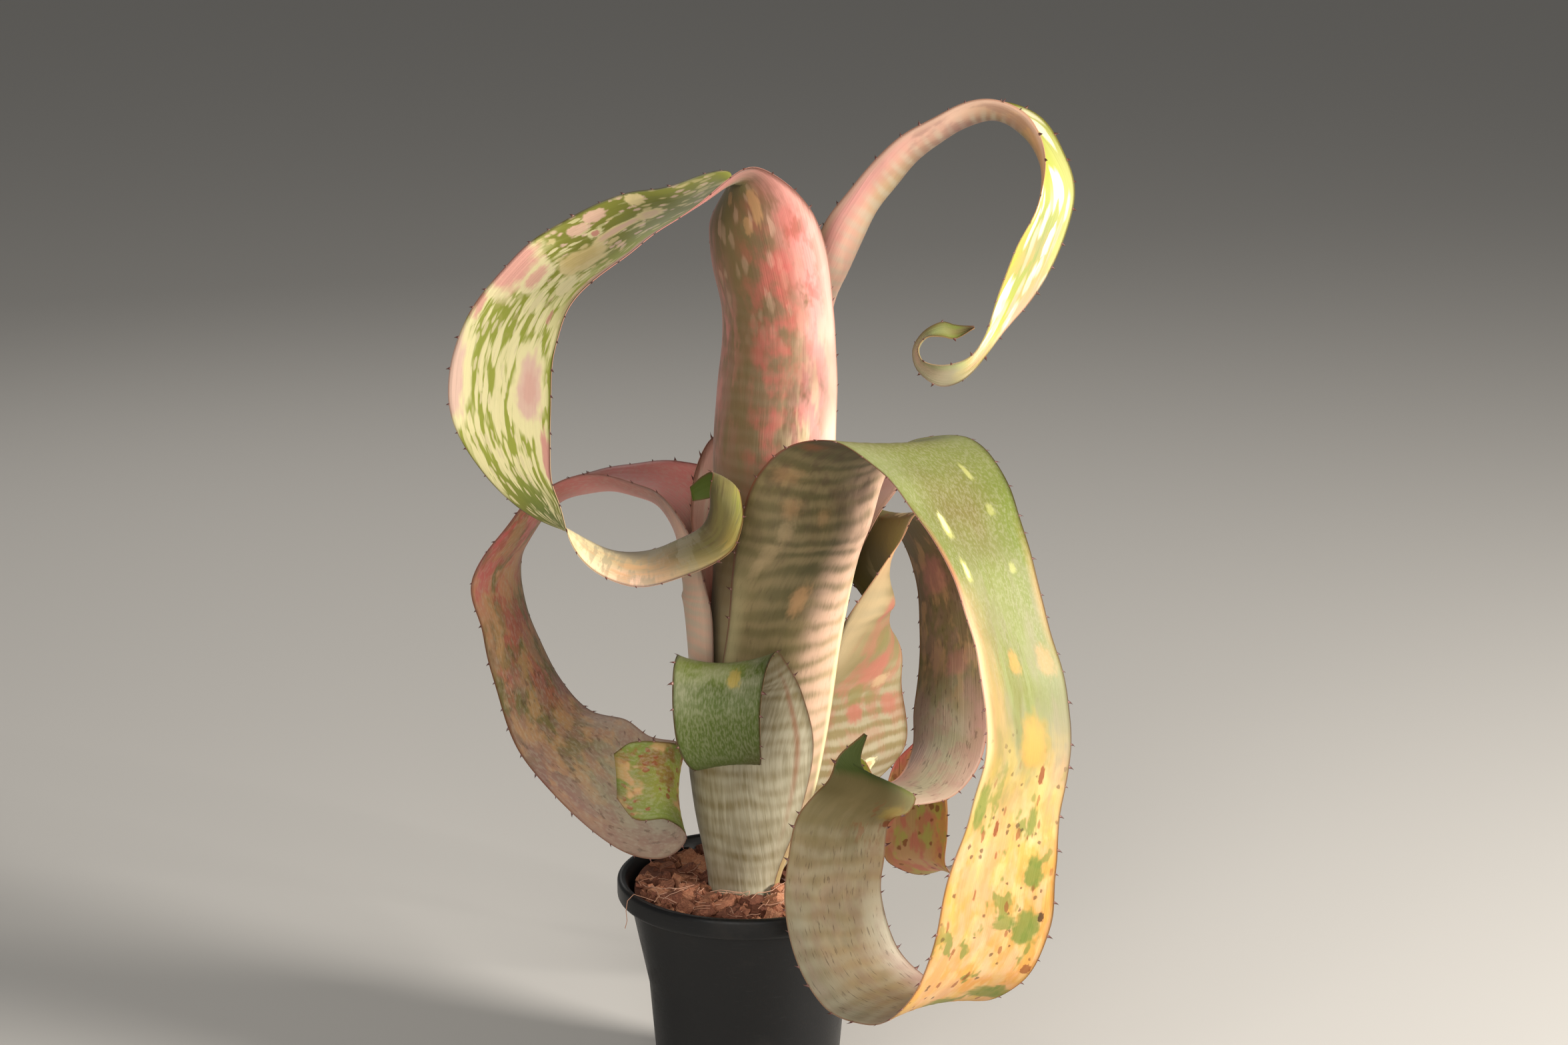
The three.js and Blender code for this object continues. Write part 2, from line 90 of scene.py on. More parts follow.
# %% Light
KEY = {"place": (1.45, -0.62, 0.76), "size": 0.45, "watts": 46, "colour": (1.0, 0.95, 0.88)}
FILL = {"place": (-0.3, -1.5, 0.8), "size": 1.2, "watts": 15, "colour": (1.0, 0.97, 0.92)}
BACK = {"place": (-0.5, 1.2, 1.1), "size": 0.7, "watts": 3, "colour": (1.0, 0.97, 0.93)}
AIM = (0.0, 0.0, 0.22)
SKY_COLOUR = (0.86, 0.85, 0.82, 1)
SKY_STRENGTH = 0.17


def make_lamp(name, place, size, watts, colour):
    data = bpy.data.lights.new(name, "AREA")
    data.shape = "DISK"
    data.size = size
    data.energy = watts
    data.color = colour
    lamp = bpy.data.objects.new(name, data)
    lamp.location = place
    toward = np.array(AIM) - np.array(place)
    yaw = math.atan2(toward[1], toward[0])
    pitch = math.atan2(toward[2], math.hypot(toward[0], toward[1]))
    lamp.rotation_euler = (math.pi / 2 + pitch, 0, yaw - math.pi / 2)
    bpy.context.scene.collection.objects.link(lamp)
    print(name, watts, "W")


def make_sky():
    world = bpy.data.worlds.new("sky")
    world.use_nodes = True
    background = world.node_tree.nodes["Background"]
    background.inputs["Color"].default_value = SKY_COLOUR
    background.inputs["Strength"].default_value = SKY_STRENGTH
    bpy.context.scene.world = world


make_lamp("key_light", **KEY)
make_lamp("fill_light", **FILL)
make_lamp("back_light", **BACK)
make_sky()

# %% [markdown]
# The floor is a plain sheet of pale matt board, big enough to fill the view from any side. Its three
# helpers serve every later piece: a mesh from lists of points, an object from a mesh, and a material
# whose constant values sit on its own Principled shader.

# %% Floor
FLOOR_COLOUR = (0.62, 0.6, 0.57, 1)
FLOOR_HALF = 12.0
FLOOR_ROUGHNESS = 0.85


def new_mesh(name, places, edges, faces):
    mesh = bpy.data.meshes.new(name)
    mesh.from_pydata(places, edges, faces)
    return mesh


def mesh_object(name, mesh):
    piece = bpy.data.objects.new(name, mesh)
    bpy.context.scene.collection.objects.link(piece)
    return piece


def new_material(name, **settings):
    material = bpy.data.materials.new(name)
    material.use_nodes = True
    shader = material.node_tree.nodes["Principled BSDF"]
    for label, value in settings.items():
        shader.inputs[label.replace("_", " ")].default_value = value
    return material, material.node_tree, shader


def make_floor():
    corners = [(-1, -1), (1, -1), (1, 1), (-1, 1)]
    places = [(x * FLOOR_HALF, y * FLOOR_HALF, 0) for x, y in corners]
    floor = mesh_object("floor", new_mesh("floor", places, [], [(0, 1, 2, 3)]))
    finish = new_material("pale_floor", Base_Color=FLOOR_COLOUR, Roughness=FLOOR_ROUGHNESS)
    floor.data.materials.append(finish[0])
    print("floor", 2 * FLOOR_HALF, "m wide")


make_floor()

# %% [markdown]
# ## How a leaf is shaped
#
# One leaf of this plant is a long strap. Its base wraps the others as a sheath, and its blade bends,
# twists and rolls. The shape could be sculpted, but a few listed stations say it better: each
# one gives the left margin, the right margin and the bow, which is how far the middle stands out
# from the line between the margins. A leaf is looked at from its outer side with its tip up.
# Between the stations a smooth curve fills in, the same one that the solids follow.

# %% Smooth curves and sheaths
LEAF_FOOT = 76.3
SHEATH_HEIGHTS = [LEAF_FOOT, 95, 125, 155, 205]
TUBE_LEAN = [[77, 0], [95, 0], [125, 3.5], [155, 5.5], [205, 9.5]]


def sheath(from_bearing, to_bearing, radii):
    """Stations that wrap the leaning tube from one bearing to another, in degrees from +X."""
    stations = []
    for height, radius in zip(SHEATH_HEIGHTS, radii):
        axis = np.interp(height, *zip(*TUBE_LEAN))
        sides = []
        for bearing in (math.radians(from_bearing), math.radians(to_bearing)):
            sides.append([axis + radius * math.cos(bearing), radius * math.sin(bearing), height])
        half = math.radians(to_bearing - from_bearing) / 2
        stations.append([*sides, radius * (1 - math.cos(half))])
    return stations


def smooth(knots, values, t):
    """A smooth curve through values at uneven knots; t is a row of places along it."""
    values = np.asarray(values, float)
    last = len(knots) - 1
    before = np.maximum(np.arange(last + 1) - 1, 0)
    after = np.minimum(np.arange(last + 1) + 1, last)
    shape = (-1,) + (1,) * (values.ndim - 1)
    slopes = (values[after] - values[before]) / (knots[after] - knots[before]).reshape(shape)
    i = np.clip(np.searchsorted(knots[1:-1], t, side="left"), 0, last - 1)
    span = (knots[i + 1] - knots[i]).reshape(shape)
    u = (t - knots[i]).reshape(shape) / span
    rise = u * u * (3 - 2 * u)
    leave = u * (1 - u) ** 2 * span * slopes[i]
    arrive = u * u * (1 - u) * span * slopes[i + 1]
    return (1 - rise) * values[i] + rise * values[i + 1] + leave - arrive


def smoothstep(value, low, high):
    share = np.clip((value - low) / (high - low), 0, 1)
    return share * share * (3 - 2 * share)


def unit(vectors):
    return vectors / np.maximum(np.linalg.norm(vectors, axis=-1, keepdims=True), 1e-9)


# %% [markdown]
# The stations of the seven leaves, from the outermost leaf of the tube to the innermost, are
# millimetres in the plant's own frame. The first ones of each leaf are its sheath, and "wrapped" says
# how many of them lie in the tube. "spine" is the length of the leaf's spines in millimetres, and
# "seed" is a number of its own that keeps its waves and marks different from its neighbours'.

# %% Stations of the leaves
FRONT_LOWER = [
    *sheath(-225, -45, [15.2, 15.7, 24.5, 29.5]),
    [[-25.5, 2, 177], [22, -28, 179], 18],
    [[-25, -28, 192], [16, -37, 194], 9],
    [[-26, -44, 200], [12, -49, 202], 4],
    [[-27, -58, 197], [8, -60, 198], 3],
    [[-27, -66, 184], [6, -67, 185], 2.5],
    [[-25, -64, 168], [6, -65, 171], 2],
    [[-20, -56, 158], [6, -58, 161], 1.5],
    [[-14, -46, 157], [4, -47, 159], 1],
    [[-8, -41, 164], [0, -41, 165], 0.6],
]
FRONT_RIGHT = [
    *sheath(-135, -22.5, [13.9, 14.4, 23.1, 28]),
    [[-7, -27, 205], [38.6, -12, 205], 11],
    [[-3, -31, 243], [48, 6, 240], 19],
    [[9, -37, 275], [62, 6, 271], 9],
    [[31, -46, 284], [84, -10, 277], 2.5],
    [[51, -62, 275], [96, -30, 272], 3],
    [[67, -78, 258], [103, -48, 256], 4],
    [[79, -92, 235], [110, -62, 232], 3],
    [[86, -100, 210], [118, -72, 203], 3],
    [[88, -103, 182], [122, -78, 175], 2.5],
    [[83, -104, 156], [118, -84, 150], 2.5],
    [[75, -104, 132], [116, -87, 127], 2.5],
    [[71, -104, 110], [115, -88, 106], 2.5],
    [[66, -103, 91], [106, -85, 85], 3],
    [[57, -97, 76], [93, -75, 72], 3],
    [[46, -86, 66], [80, -66, 70], 3],
    [[31, -73, 67], [68, -60, 76], 3],
    [[20, -67, 83], [58, -59, 88], 3],
    [[15, -66, 108], [52, -62, 110], 3],
    [[17, -69, 132], [53, -68, 128], 2],
    [[20, -72, 145], [54, -66, 138], 2],
    [[26, -72, 153], [57, -61, 140], 2],
    [[31, -68, 157], [63, -56, 141], 2],
    [[33, -65, 160], [65, -52, 146], 2],
    [[34, -63, 163], [57, -53, 150], 1.5],
    [[36, -62, 166], [48, -56, 155], 1],
    [[39, -62, 169], [44, -59, 162], 0.6],
    [[45, -64, 175], [46.2, -63.6, 174], 0.3],
]
LEFT_BACK = [
    *sheath(45, 225, [12.9, 13.4, 21.7, 26.3]),
    [[28, 22, 205], [-13, -20, 205], 33],
    [[13, 38, 228], [-16, -21, 222], 24],
    [[2, 40, 243], [-21, -17, 238], 20],
    [[-12, 42, 252], [-29, -8, 249], 15],
    [[-28, 43, 256], [-38, 0, 255], 11],
    [[-44, 49, 254], [-50, 9, 257], 9],
    [[-62, 58, 249], [-66, 20, 255], 8],
    [[-79, 66, 239], [-84, 30, 246], 7],
    [[-91, 71, 221], [-99, 36, 229], 5],
    [[-95, 70, 200], [-112, 39, 206], 4],
    [[-90, 68, 180], [-109, 39, 184], 4],
    [[-80, 60, 160], [-103, 36, 161], 4],
    [[-65, 47, 149], [-94, 28, 138], 3],
    [[-50, 31, 150], [-75, 15, 119], 3],
    [[-39, 12, 149], [-52, -2, 106], 3],
    [[-29, -3, 152], [-34, -16, 107], 3],
    [[-23, -22, 156], [-23, -31, 121], 3],
    [[-31, -35, 162], [-31, -43, 133], 2],
    [[-44, -38, 163], [-43, -45, 134], 2],
    [[-51, -37, 158], [-50, -41, 141], 1],
]
RIGHT_BACK = [
    *sheath(-90, 22.5, [12.6, 13.1]),
    [[3.6, -18.4, 118], [40, 14, 118], 2.6],
    [[10.5, -21, 143], [63.5, 16.8, 143], 0.2],
    [[11, -26, 171], [62, 14, 171], 0.5],
    [[29, -15, 187], [60, 24, 187], 7],
    [[39, -9, 204], [46, 29, 204], 16],
    [[52, -8, 222], [37, 32, 218], 12],
    [[60, -4, 234], [37, 37, 230], 6],
    [[66, 7, 242], [43, 45, 237], 3],
    [[77, 26, 240], [55, 58, 230], 3],
    [[87, 38, 224], [67, 63, 211], 3],
    [[94, 44, 203], [71, 63, 190], 3],
    [[98, 44, 178], [71, 60, 166], 3],
    [[99, 34, 155], [69, 48, 149], 3],
    [[95, 16, 138], [67, 28, 138], 3],
    [[83, -4, 130], [60, 3, 134], 2],
    [[68, -18, 130], [49, -13, 137], 2],
    [[55, -24, 136], [43, -20, 144], 1],
    [[47, -24, 150], [43, -23, 153], 0.5],
]
BACK_LEAF = [
    *sheath(0, 180, [10.9, 11.4, 19.1, 23.3]),
    [[36, 1, 205], [-17, 0, 205], 25],
    [[44, 7, 225], [-20, 2, 228], 28],
    [[52, 14, 240], [-22, 4, 243], 28],
    [[61, 24, 251], [-20, 11, 260], 24],
    [[58, 38, 254], [-12, 24, 271], 16],
    [[52, 54, 254], [4, 38, 266], 9],
    [[56, 68, 251], [18, 54, 256], 5],
    [[72, 84, 244], [40, 76, 247], 4],
    [[92, 94, 230], [66, 96, 232], 3],
    [[110, 100, 200], [87, 108, 200], 3],
    [[125, 102, 165], [103, 111, 164], 3],
    [[130, 101, 130], [108, 112, 128], 3],
    [[128, 97, 98], [106, 110, 94], 3],
    [[116, 89, 74], [100, 104, 68], 3],
    [[95, 78, 63], [76, 94, 59], 3],
    [[84, 68, 72], [60, 84, 68], 3],
    [[84, 63, 88], [57, 78, 86], 3],
    [[84, 62, 104], [58, 74, 104], 2],
    [[82, 64, 118], [62, 72, 118], 1],
    [[73, 68, 128], [70, 69, 128], 0.5],
]
FRONT_INNER = [
    *sheath(-225, -45, [9.1, 9.6, 16.7, 20.6, 23.3]),
    [[-12, 8, 243], [34, -9, 243], 22],
    [[-12, 8, 278], [35, -10, 276], 20],
    [[-9, 6, 323], [34, -12, 325], 17],
    [[-14, 4, 357], [27, -22, 363], 14],
    [[-6, -3, 379], [5, -38, 386], 6],
    [[-34, -18, 375], [-16, -55, 374], 5],
    [[-57, -32, 370], [-37, -66, 361], 5],
    [[-81, -46, 357], [-58, -72, 345], 4],
    [[-101, -56, 333], [-68, -76, 325], 3],
    [[-109, -62, 306], [-70, -77, 300], 3],
    [[-102, -60, 283], [-70, -76, 279], 3],
    [[-85, -52, 260], [-67, -73, 262], 2],
    [[-67, -38, 246], [-63, -69, 249], 2],
    [[-52, -33, 239], [-53, -66, 237], 2],
    [[-38, -32, 238], [-38, -63, 232], 2],
    [[-25, -36, 243], [-19, -60, 236], 2],
    [[-16, -41, 250], [-5, -58, 244], 2],
    [[-13, -44, 258], [-1, -56, 254], 2],
    [[-13, -45, 265], [-1, -51, 261], 1.5],
    [[-12, -42, 270], [-3, -43, 265], 1],
    [[-13, -37, 270], [-8, -36, 261], 1],
    [[-17, -34, 267], [-15, -32, 258], 1],
    [[-21, -33, 263], [-20, -31, 257], 0.5],
]
INNERMOST = [
    *sheath(-135, 45, [7.4, 7.9, 14.5, 18.1, 20.6]),
    [[2, -6, 245], [24, 14, 245], 14],
    [[6, 0, 280], [26, 18, 280], 12],
    [[14, 8, 315], [26, 26, 315], 12],
    [[30, 2, 358], [36, 18, 354], 12.5],
    [[49, -2, 383], [54, 14, 379], 10],
    [[73, -8, 402], [76, 8, 399], 8],
    [[91, -13, 408], [94, 2, 405], 7.5],
    [[106, -19, 402], [112, -4, 400], 8],
    [[112, -26, 387], [122, -12, 385], 6],
    [[110, -30, 371], [124, -18, 370], 4],
    [[101, -32, 354], [118, -22, 351], 3],
    [[95, -33, 337], [109, -26, 335], 2],
    [[90, -33, 321], [97, -29, 321], 1],
    [[84, -33, 313], [84, -34, 306], 1],
    [[75, -37, 311], [74, -33, 302], 1],
    [[67, -39, 313], [65, -33, 308], 1],
    [[65, -40, 318], [63, -33, 316], 1],
    [[68, -39, 322], [67, -33, 323], 1],
    [[74, -38, 322], [74, -34, 327], 1],
    [[79, -37, 321], [79, -35, 326], 1],
    [[86, -36.6, 325], [86, -35.4, 325.6], 0.3],
]
LEAVES = {
    "leaf_front_lower": {"stations": FRONT_LOWER, "wrapped": 5, "spine": 2.2, "seed": 3},
    "leaf_front_right": {"stations": FRONT_RIGHT, "wrapped": 5, "spine": 2.4, "seed": 5},
    "leaf_left_back": {"stations": LEFT_BACK, "wrapped": 5, "spine": 1.9, "seed": 7},
    "leaf_right_back": {"stations": RIGHT_BACK, "wrapped": 2, "spine": 1.9, "seed": 11},
    "leaf_back": {"stations": BACK_LEAF, "wrapped": 4, "spine": 2.5, "seed": 13},
    "leaf_front_inner": {"stations": FRONT_INNER, "wrapped": 5, "spine": 1.8, "seed": 17},
    "leaf_innermost": {"stations": INNERMOST, "wrapped": 5, "spine": 1.7, "seed": 19},
}
print("stations", {name: len(leaf["stations"]) for name, leaf in LEAVES.items()})

# %% [markdown]
# The blade between the stations is a grid of points: rows along the leaf and columns across it, on
# an arc through both margins. While a leaf is still part of the tube its sections stay upright, and
# over the next few centimetres they swing round to face along the blade. Out of the tube the strap
# also waves a little, as real leaves do. A wave is a length, a depth and a slant across the blade.

# %% Directions and waves of a leaf
OPENING = 35.0
WAVES = [(61, 0.45, 1.3), (37, 0.3, -2.1), (23, 0.14, 2.9)]
WAVE_START = 10
WAVE_FULL = 60
FULL_WIDTH = 30
FLUTES = 9
FLUTE_DEPTH = 0.07
SHORTEST_STEP = 3
UP = np.array([0, 0, 1.0])


def leaf_knots(left, right):
    """How far along the leaf each station lies."""
    steps = np.linalg.norm(np.diff((left + right) / 2, axis=0), axis=1)
    return np.concatenate([[0], np.cumsum(np.maximum(steps, SHORTEST_STEP))])


def travel_direction(knots, left, right, t, sheath_end):
    ahead = smooth(knots, (left + right) / 2, np.minimum(t + 1, knots[-1]))
    behind = smooth(knots, (left + right) / 2, np.maximum(t - 1, 0))
    opened = smoothstep(t, sheath_end, sheath_end + OPENING)[:, None]
    return unit((1 - opened) * UP + opened * unit(ahead - behind))


def waving(t, share, width, opened, seed):
    """How far the blade stands off its plain arc, in millimetres."""
    phase = np.random.default_rng(seed).uniform(0, TURN, len(WAVES) + 1)
    lift = np.zeros((len(t), len(share)))
    for (length, depth, slant), start in zip(WAVES, phase):
        angle = TURN * t[:, None] / length + start + slant * share[None, :]
        lift += depth * np.sin(angle) * np.minimum(width[:, None] / FULL_WIDTH, 1)
    flute = FLUTE_DEPTH * np.sin(TURN * FLUTES * share + phase[-1])
    return (lift + flute[None, :]) * opened[:, None]


# %% [markdown]
# With these the grid of a leaf can be laid out. Its rows are 1.6 mm apart, fine enough for the curls.
# What the paint and the spines need later is kept beside the points.

# %% The grid of a leaf
ROW_SPACING = 1.6
COLUMNS = 22
FLATTEST_BOW = 0.05


def leaf_arcs(chord, bow):
    """The radius and the half angle of the arc over each chord."""
    return (chord**2 / 4 + bow**2) / (2 * bow), 2 * np.arctan2(2 * bow, chord)


def leaf_grid(stations, wrapped, seed):
    """The middle surface of a leaf in metres, with what its skin needs at each point."""
    left, right, bows = [np.array([row[k] for row in stations], float) for k in range(3)]
    knots = leaf_knots(left, right)
    sheath_end = knots[wrapped - 1]
    t = np.linspace(0, knots[-1], int(knots[-1] / ROW_SPACING) + 1)
    share = np.linspace(0, 1, COLUMNS + 1)
    near = smooth(knots, left, t)
    far = smooth(knots, right, t)
    across = unit(far - near)
    outward = unit(np.cross(across, travel_direction(knots, left, right, t, sheath_end)))
    bow = np.maximum(smooth(knots, bows, t), FLATTEST_BOW)
    radius, half = leaf_arcs(np.linalg.norm(far - near, axis=1), bow)
    angle = (2 * share[None, :] - 1) * half[:, None]
    width = 2 * radius * half
    opened = smoothstep(t, sheath_end + WAVE_START, sheath_end + WAVE_FULL)
    reach = radius[:, None] * np.sin(angle)
    stand = radius[:, None] * (np.cos(angle) - np.cos(half)[:, None])
    stand = stand + waving(t, share, width, opened, seed)
    points = ((near + far) / 2)[:, None, :] + across[:, None, :] * reach[:, :, None]
    points = points + outward[:, None, :] * stand[:, :, None]
    return {
        "points": points * MM,
        "share": share,
        "station": np.interp(t, knots, np.arange(len(knots))),
        "along": t * MM,
        "width": width * MM,
        "stations": len(stations),
        "first_spine": int(np.searchsorted(t, sheath_end)),
    }


# %% [markdown]
# A leaf is about a millimetre thick in the middle and thins out toward its margins and its tip. The
# grid could get its thickness from a Solidify modifier, but two skins made by hand keep the two
# sides apart, because the inner side is green and spotted and the outer side is banded with scurf.

# %% Two skins and their rim
THICKNESS = 0.8 * MM
EDGE_SHARE = 0.3
TIP_SHARE = 0.4
TIP_LENGTH = 25 * MM


def skin_normals(points):
    return unit(np.cross(np.gradient(points, axis=0), np.gradient(points, axis=1)))


def half_thickness(grid):
    """Half the thickness at each point, full in the middle and thin at margins and tip."""
    share = grid["share"][None, :]
    toward_tip = smoothstep(grid["along"][-1] - grid["along"], 0, TIP_LENGTH)[:, None]
    middle = np.sqrt(np.clip(4 * share * (1 - share), 0, 1))
    body = middle * (TIP_SHARE + (1 - TIP_SHARE) * toward_tip)
    return THICKNESS / 2 * (EDGE_SHARE + (1 - EDGE_SHARE) * body)


def leaf_faces(rows, columns):
    """Quads of the inner skin, and those of the outer skin and the rim that joins them."""
    wide = columns + 1
    i, j = np.meshgrid(np.arange(rows - 1), np.arange(columns), indexing="ij")
    corner = (i * wide + j).ravel()
    inner = np.stack([corner, corner + wide, corner + wide + 1, corner + 1], axis=1)
    under = rows * wide
    outer = inner[:, ::-1] + under
    down = np.arange(rows - 1) * wide
    left = np.stack([down, down + under, down + wide + under, down + wide], axis=1)
    right = np.stack([down + wide, down, down + under, down + wide + under], axis=1) + columns
    side = np.arange(columns)
    foot = np.stack([side, side + 1, side + 1 + under, side + under], axis=1)
    top = np.stack([side + 1, side, side + under, side + 1 + under], axis=1) + (rows - 1) * wide
    return inner, np.concatenate([outer, left, right, foot, top])


# %% [markdown]
# Each point carries three facts for the paint: where it is in the table of stations, where it is on
# the skin in metres, and how far the nearest margin is. The first two are UV maps and the third is
# an attribute.

# %% The mesh of a leaf


def fill_map(mesh, name, across, along, shape):
    """A UV map from what lies across and along the leaf, the same on both skins."""
    pair = np.stack([np.broadcast_to(across, shape), np.broadcast_to(along, shape)], axis=2)
    values = np.tile(pair.reshape(-1, 2), (2, 1))
    corner_vertex = np.empty(len(mesh.loops), np.int32)
    mesh.loops.foreach_get("vertex_index", corner_vertex)
    layer = mesh.uv_layers.new(name=name)
    layer.data.foreach_set("uv", values[corner_vertex].astype(np.float32).ravel())


def make_leaf_mesh(name, grid):
    points = grid["points"]
    shape = points.shape[:2]
    share = grid["share"][None, :]
    width = grid["width"][:, None]
    shift = skin_normals(points) * half_thickness(grid)[:, :, None]
    both = np.concatenate([(points + shift).reshape(-1, 3), (points - shift).reshape(-1, 3)])
    inner, rest = leaf_faces(shape[0], shape[1] - 1)
    mesh = new_mesh(name, both.tolist(), [], np.concatenate([inner, rest]).tolist())
    mesh.polygons.foreach_set("material_index", [0] * len(inner) + [1] * len(rest))
    mesh.polygons.foreach_set("use_smooth", [True] * len(mesh.polygons))
    fill_map(mesh, "Region", share, grid["station"][:, None] / (grid["stations"] - 1), shape)
    fill_map(mesh, "Skin", (share - 0.5) * width, grid["along"][:, None], shape)
    margin = (np.minimum(share, 1 - share) * width).ravel()
    attribute = mesh.attributes.new("margin", "FLOAT", "POINT")
    attribute.data.foreach_set("value", np.tile(margin, 2).astype(np.float32))
    return mesh


leaf_grids = {}
leaf_pieces = {}
for name, leaf in LEAVES.items():
    leaf_grids[name] = leaf_grid(leaf["stations"], leaf["wrapped"], leaf["seed"])
    leaf_pieces[name] = mesh_object(name + "_skin", make_leaf_mesh(name + "_skin", leaf_grids[name]))
    print(name, "length", round(leaf_grids[name]["along"][-1], 3), "m")

# %% [markdown]
# ## How a skin is painted
#
# The colours of these leaves change along and across them. A picture pasted on would hold only one
# view, so the paint is worked out instead. Washes come first: three colour ramps run along the leaf,
# for its left margin, its middle and its right margin, and are blended across. Marks come next:
# spots, blotches, cross bands of silvery scurf and rusty flecks. Each kind of mark is a node group
# that puts out a mask, so that every leaf can use it with its own sizes.
#
# A few short helpers keep the node trees readable: one adds a node and feeds its sockets with values
# or links, one does a sum, and one fades smoothly from 0 to 1.

# %% Node helpers


def feed(tree, value, socket):
    if isinstance(value, bpy.types.NodeSocket):
        tree.links.new(value, socket)
    else:
        socket.default_value = value


def add_node(tree, kind, inputs=None, **settings):
    node = tree.nodes.new(kind)
    for name, value in settings.items():
        setattr(node, name, value)
    for name, value in (inputs or {}).items():
        feed(tree, value, node.inputs[name])
    return node


def first_output(tree, kind, inputs=None, **settings):
    return add_node(tree, kind, inputs, **settings).outputs[0]


def maths(tree, operation, a, b=0.0, c=0.0, clamp=False):
    inputs = {0: a, 1: b, 2: c}
    return first_output(tree, "ShaderNodeMath", inputs, operation=operation, use_clamp=clamp)


def fade(tree, value, low, high):
    """0 where value is at low or beyond, 1 where it is at high or beyond, smooth between them."""
    limits = {"Value": value, "From Min": low, "From Max": high}
    return first_output(tree, "ShaderNodeMapRange", limits, interpolation_type="SMOOTHSTEP")


# %% [markdown]
# Places are vectors, and noise makes them uneven. One helper gives a cloud of numbers from 0 to 1, and
# another a small push in any direction.

# %% Vectors and noise
HALF = (0.5, 0.5, 0.5)


def split(tree, vector):
    return add_node(tree, "ShaderNodeSeparateXYZ", {0: vector}).outputs


def join(tree, x, y, z=0.0):
    return first_output(tree, "ShaderNodeCombineXYZ", {"X": x, "Y": y, "Z": z})


def vector_maths(tree, operation, first, second):
    return first_output(tree, "ShaderNodeVectorMath", {0: first, 1: second}, operation=operation)


def scaled(tree, vector, amount):
    inputs = {0: vector, "Scale": amount}
    return first_output(tree, "ShaderNodeVectorMath", inputs, operation="SCALE")


def noise(tree, place, scale, detail, roughness):
    values = {"Vector": place, "Scale": scale, "Detail": detail, "Roughness": roughness}
    return add_node(tree, "ShaderNodeTexNoise", values, noise_dimensions="3D").outputs


def cloud(tree, place, scale=1.0, detail=2.0, roughness=0.5):
    return noise(tree, place, scale, detail, roughness)[0]


def push(tree, place, scale=1.0, detail=2.0, roughness=0.5):
    """A vector that changes from place to place, with parts from -0.5 to 0.5."""
    return vector_maths(tree, "SUBTRACT", noise(tree, place, scale, detail, roughness)[1], HALF)


# %% [markdown]
# A node group is made once with named inputs and then placed in every material that needs it. The
# groups for marks all start from a place on the skin, counted in widths and lengths of the mark.

# %% Node groups and places on the skin
FLOAT = "NodeSocketFloat"
VECTOR = "NodeSocketVector"
MASK = [("Mask", FLOAT)]
SEED_STRIDE = 7.31


def new_group(name, inputs, outputs, kind="ShaderNodeTree"):
    """An empty node group with named sockets: the tree, its inputs and its outputs."""
    tree = bpy.data.node_groups.new(name, kind)
    for label, socket_type, value in inputs:
        socket = tree.interface.new_socket(label, in_out="INPUT", socket_type=socket_type)
        if value is not None:
            socket.default_value = value
    for label, socket_type in outputs:
        tree.interface.new_socket(label, in_out="OUTPUT", socket_type=socket_type)
    entry = tree.nodes.new("NodeGroupInput")
    result = tree.nodes.new("NodeGroupOutput")
    print("group", name, [row[0] for row in inputs])
    return tree, entry.outputs, result.inputs


def use_group(tree, group, inputs):
    return first_output(tree, "ShaderNodeGroup", inputs, node_tree=group)


def skin_place(tree, skin, width, length, seed):
    """Skin metres counted in widths and lengths of a mark."""
    parts = split(tree, skin)
    across = maths(tree, "DIVIDE", parts["X"], width)
    along = maths(tree, "DIVIDE", parts["Y"], length)
    shifted = maths(tree, "ADD", across, maths(tree, "MULTIPLY", seed, SEED_STRIDE))
    return join(tree, shifted, along, seed)


def shaken(tree, place, scale, amount):
    """A place pushed about by noise, which makes edges ragged."""
    return vector_maths(tree, "ADD", place, scaled(tree, push(tree, place, scale), amount))


# %% [markdown]
# Spots come from a cell pattern, which gives every cell its own chance and its own radius. Blotches
# are the parts of a noise that rise above a level. Both take the same inputs, so that a table can
# choose between them by name.

# %% Spots and blotches
MARK_INPUTS = [
    ("Skin", VECTOR, None),
    ("Length", FLOAT, 0.012),
    ("Width", FLOAT, 0.005),
    ("Cover", FLOAT, 0.4),
    ("Edge", FLOAT, 0.1),
    ("Seed", FLOAT, 0.0),
]
SPOT_SHAKE = (1.7, 0.55)
SMALLEST_SPOT = 0.2
SPOT_SPREAD = 0.26
BLOTCH_NOISE = (0.8, 3.0, 0.55)
BLOTCH_LEVEL = 0.68
COVER_LOWERS_LEVEL = -0.36


def fade_up(tree, value, middle, soft):
    low = maths(tree, "SUBTRACT", middle, soft)
    return fade(tree, value, low, maths(tree, "ADD", middle, soft))


def fade_down(tree, value, middle, soft):
    low = maths(tree, "ADD", middle, soft)
    return fade(tree, value, low, maths(tree, "SUBTRACT", middle, soft))


def mark_place(tree, given):
    return skin_place(tree, given["Skin"], given["Width"], given["Length"], given["Seed"])


def make_spots():
    """Round or long spots, one in some of the cells of a cell pattern."""
    tree, given, result = new_group("leaf_spots", MARK_INPUTS, MASK)
    place = shaken(tree, mark_place(tree, given), *SPOT_SHAKE)
    values = {"Vector": place, "Scale": 1.0}
    cells = add_node(tree, "ShaderNodeTexVoronoi", values, voronoi_dimensions="2D").outputs
    chance = add_node(tree, "ShaderNodeSeparateColor", {0: cells["Color"]}).outputs
    shown = maths(tree, "LESS_THAN", chance[0], given["Cover"])
    radius = maths(tree, "MULTIPLY_ADD", chance[1], SPOT_SPREAD, SMALLEST_SPOT)
    spot = fade_down(tree, cells["Distance"], radius, given["Edge"])
    feed(tree, maths(tree, "MULTIPLY", spot, shown), result["Mask"])
    return tree


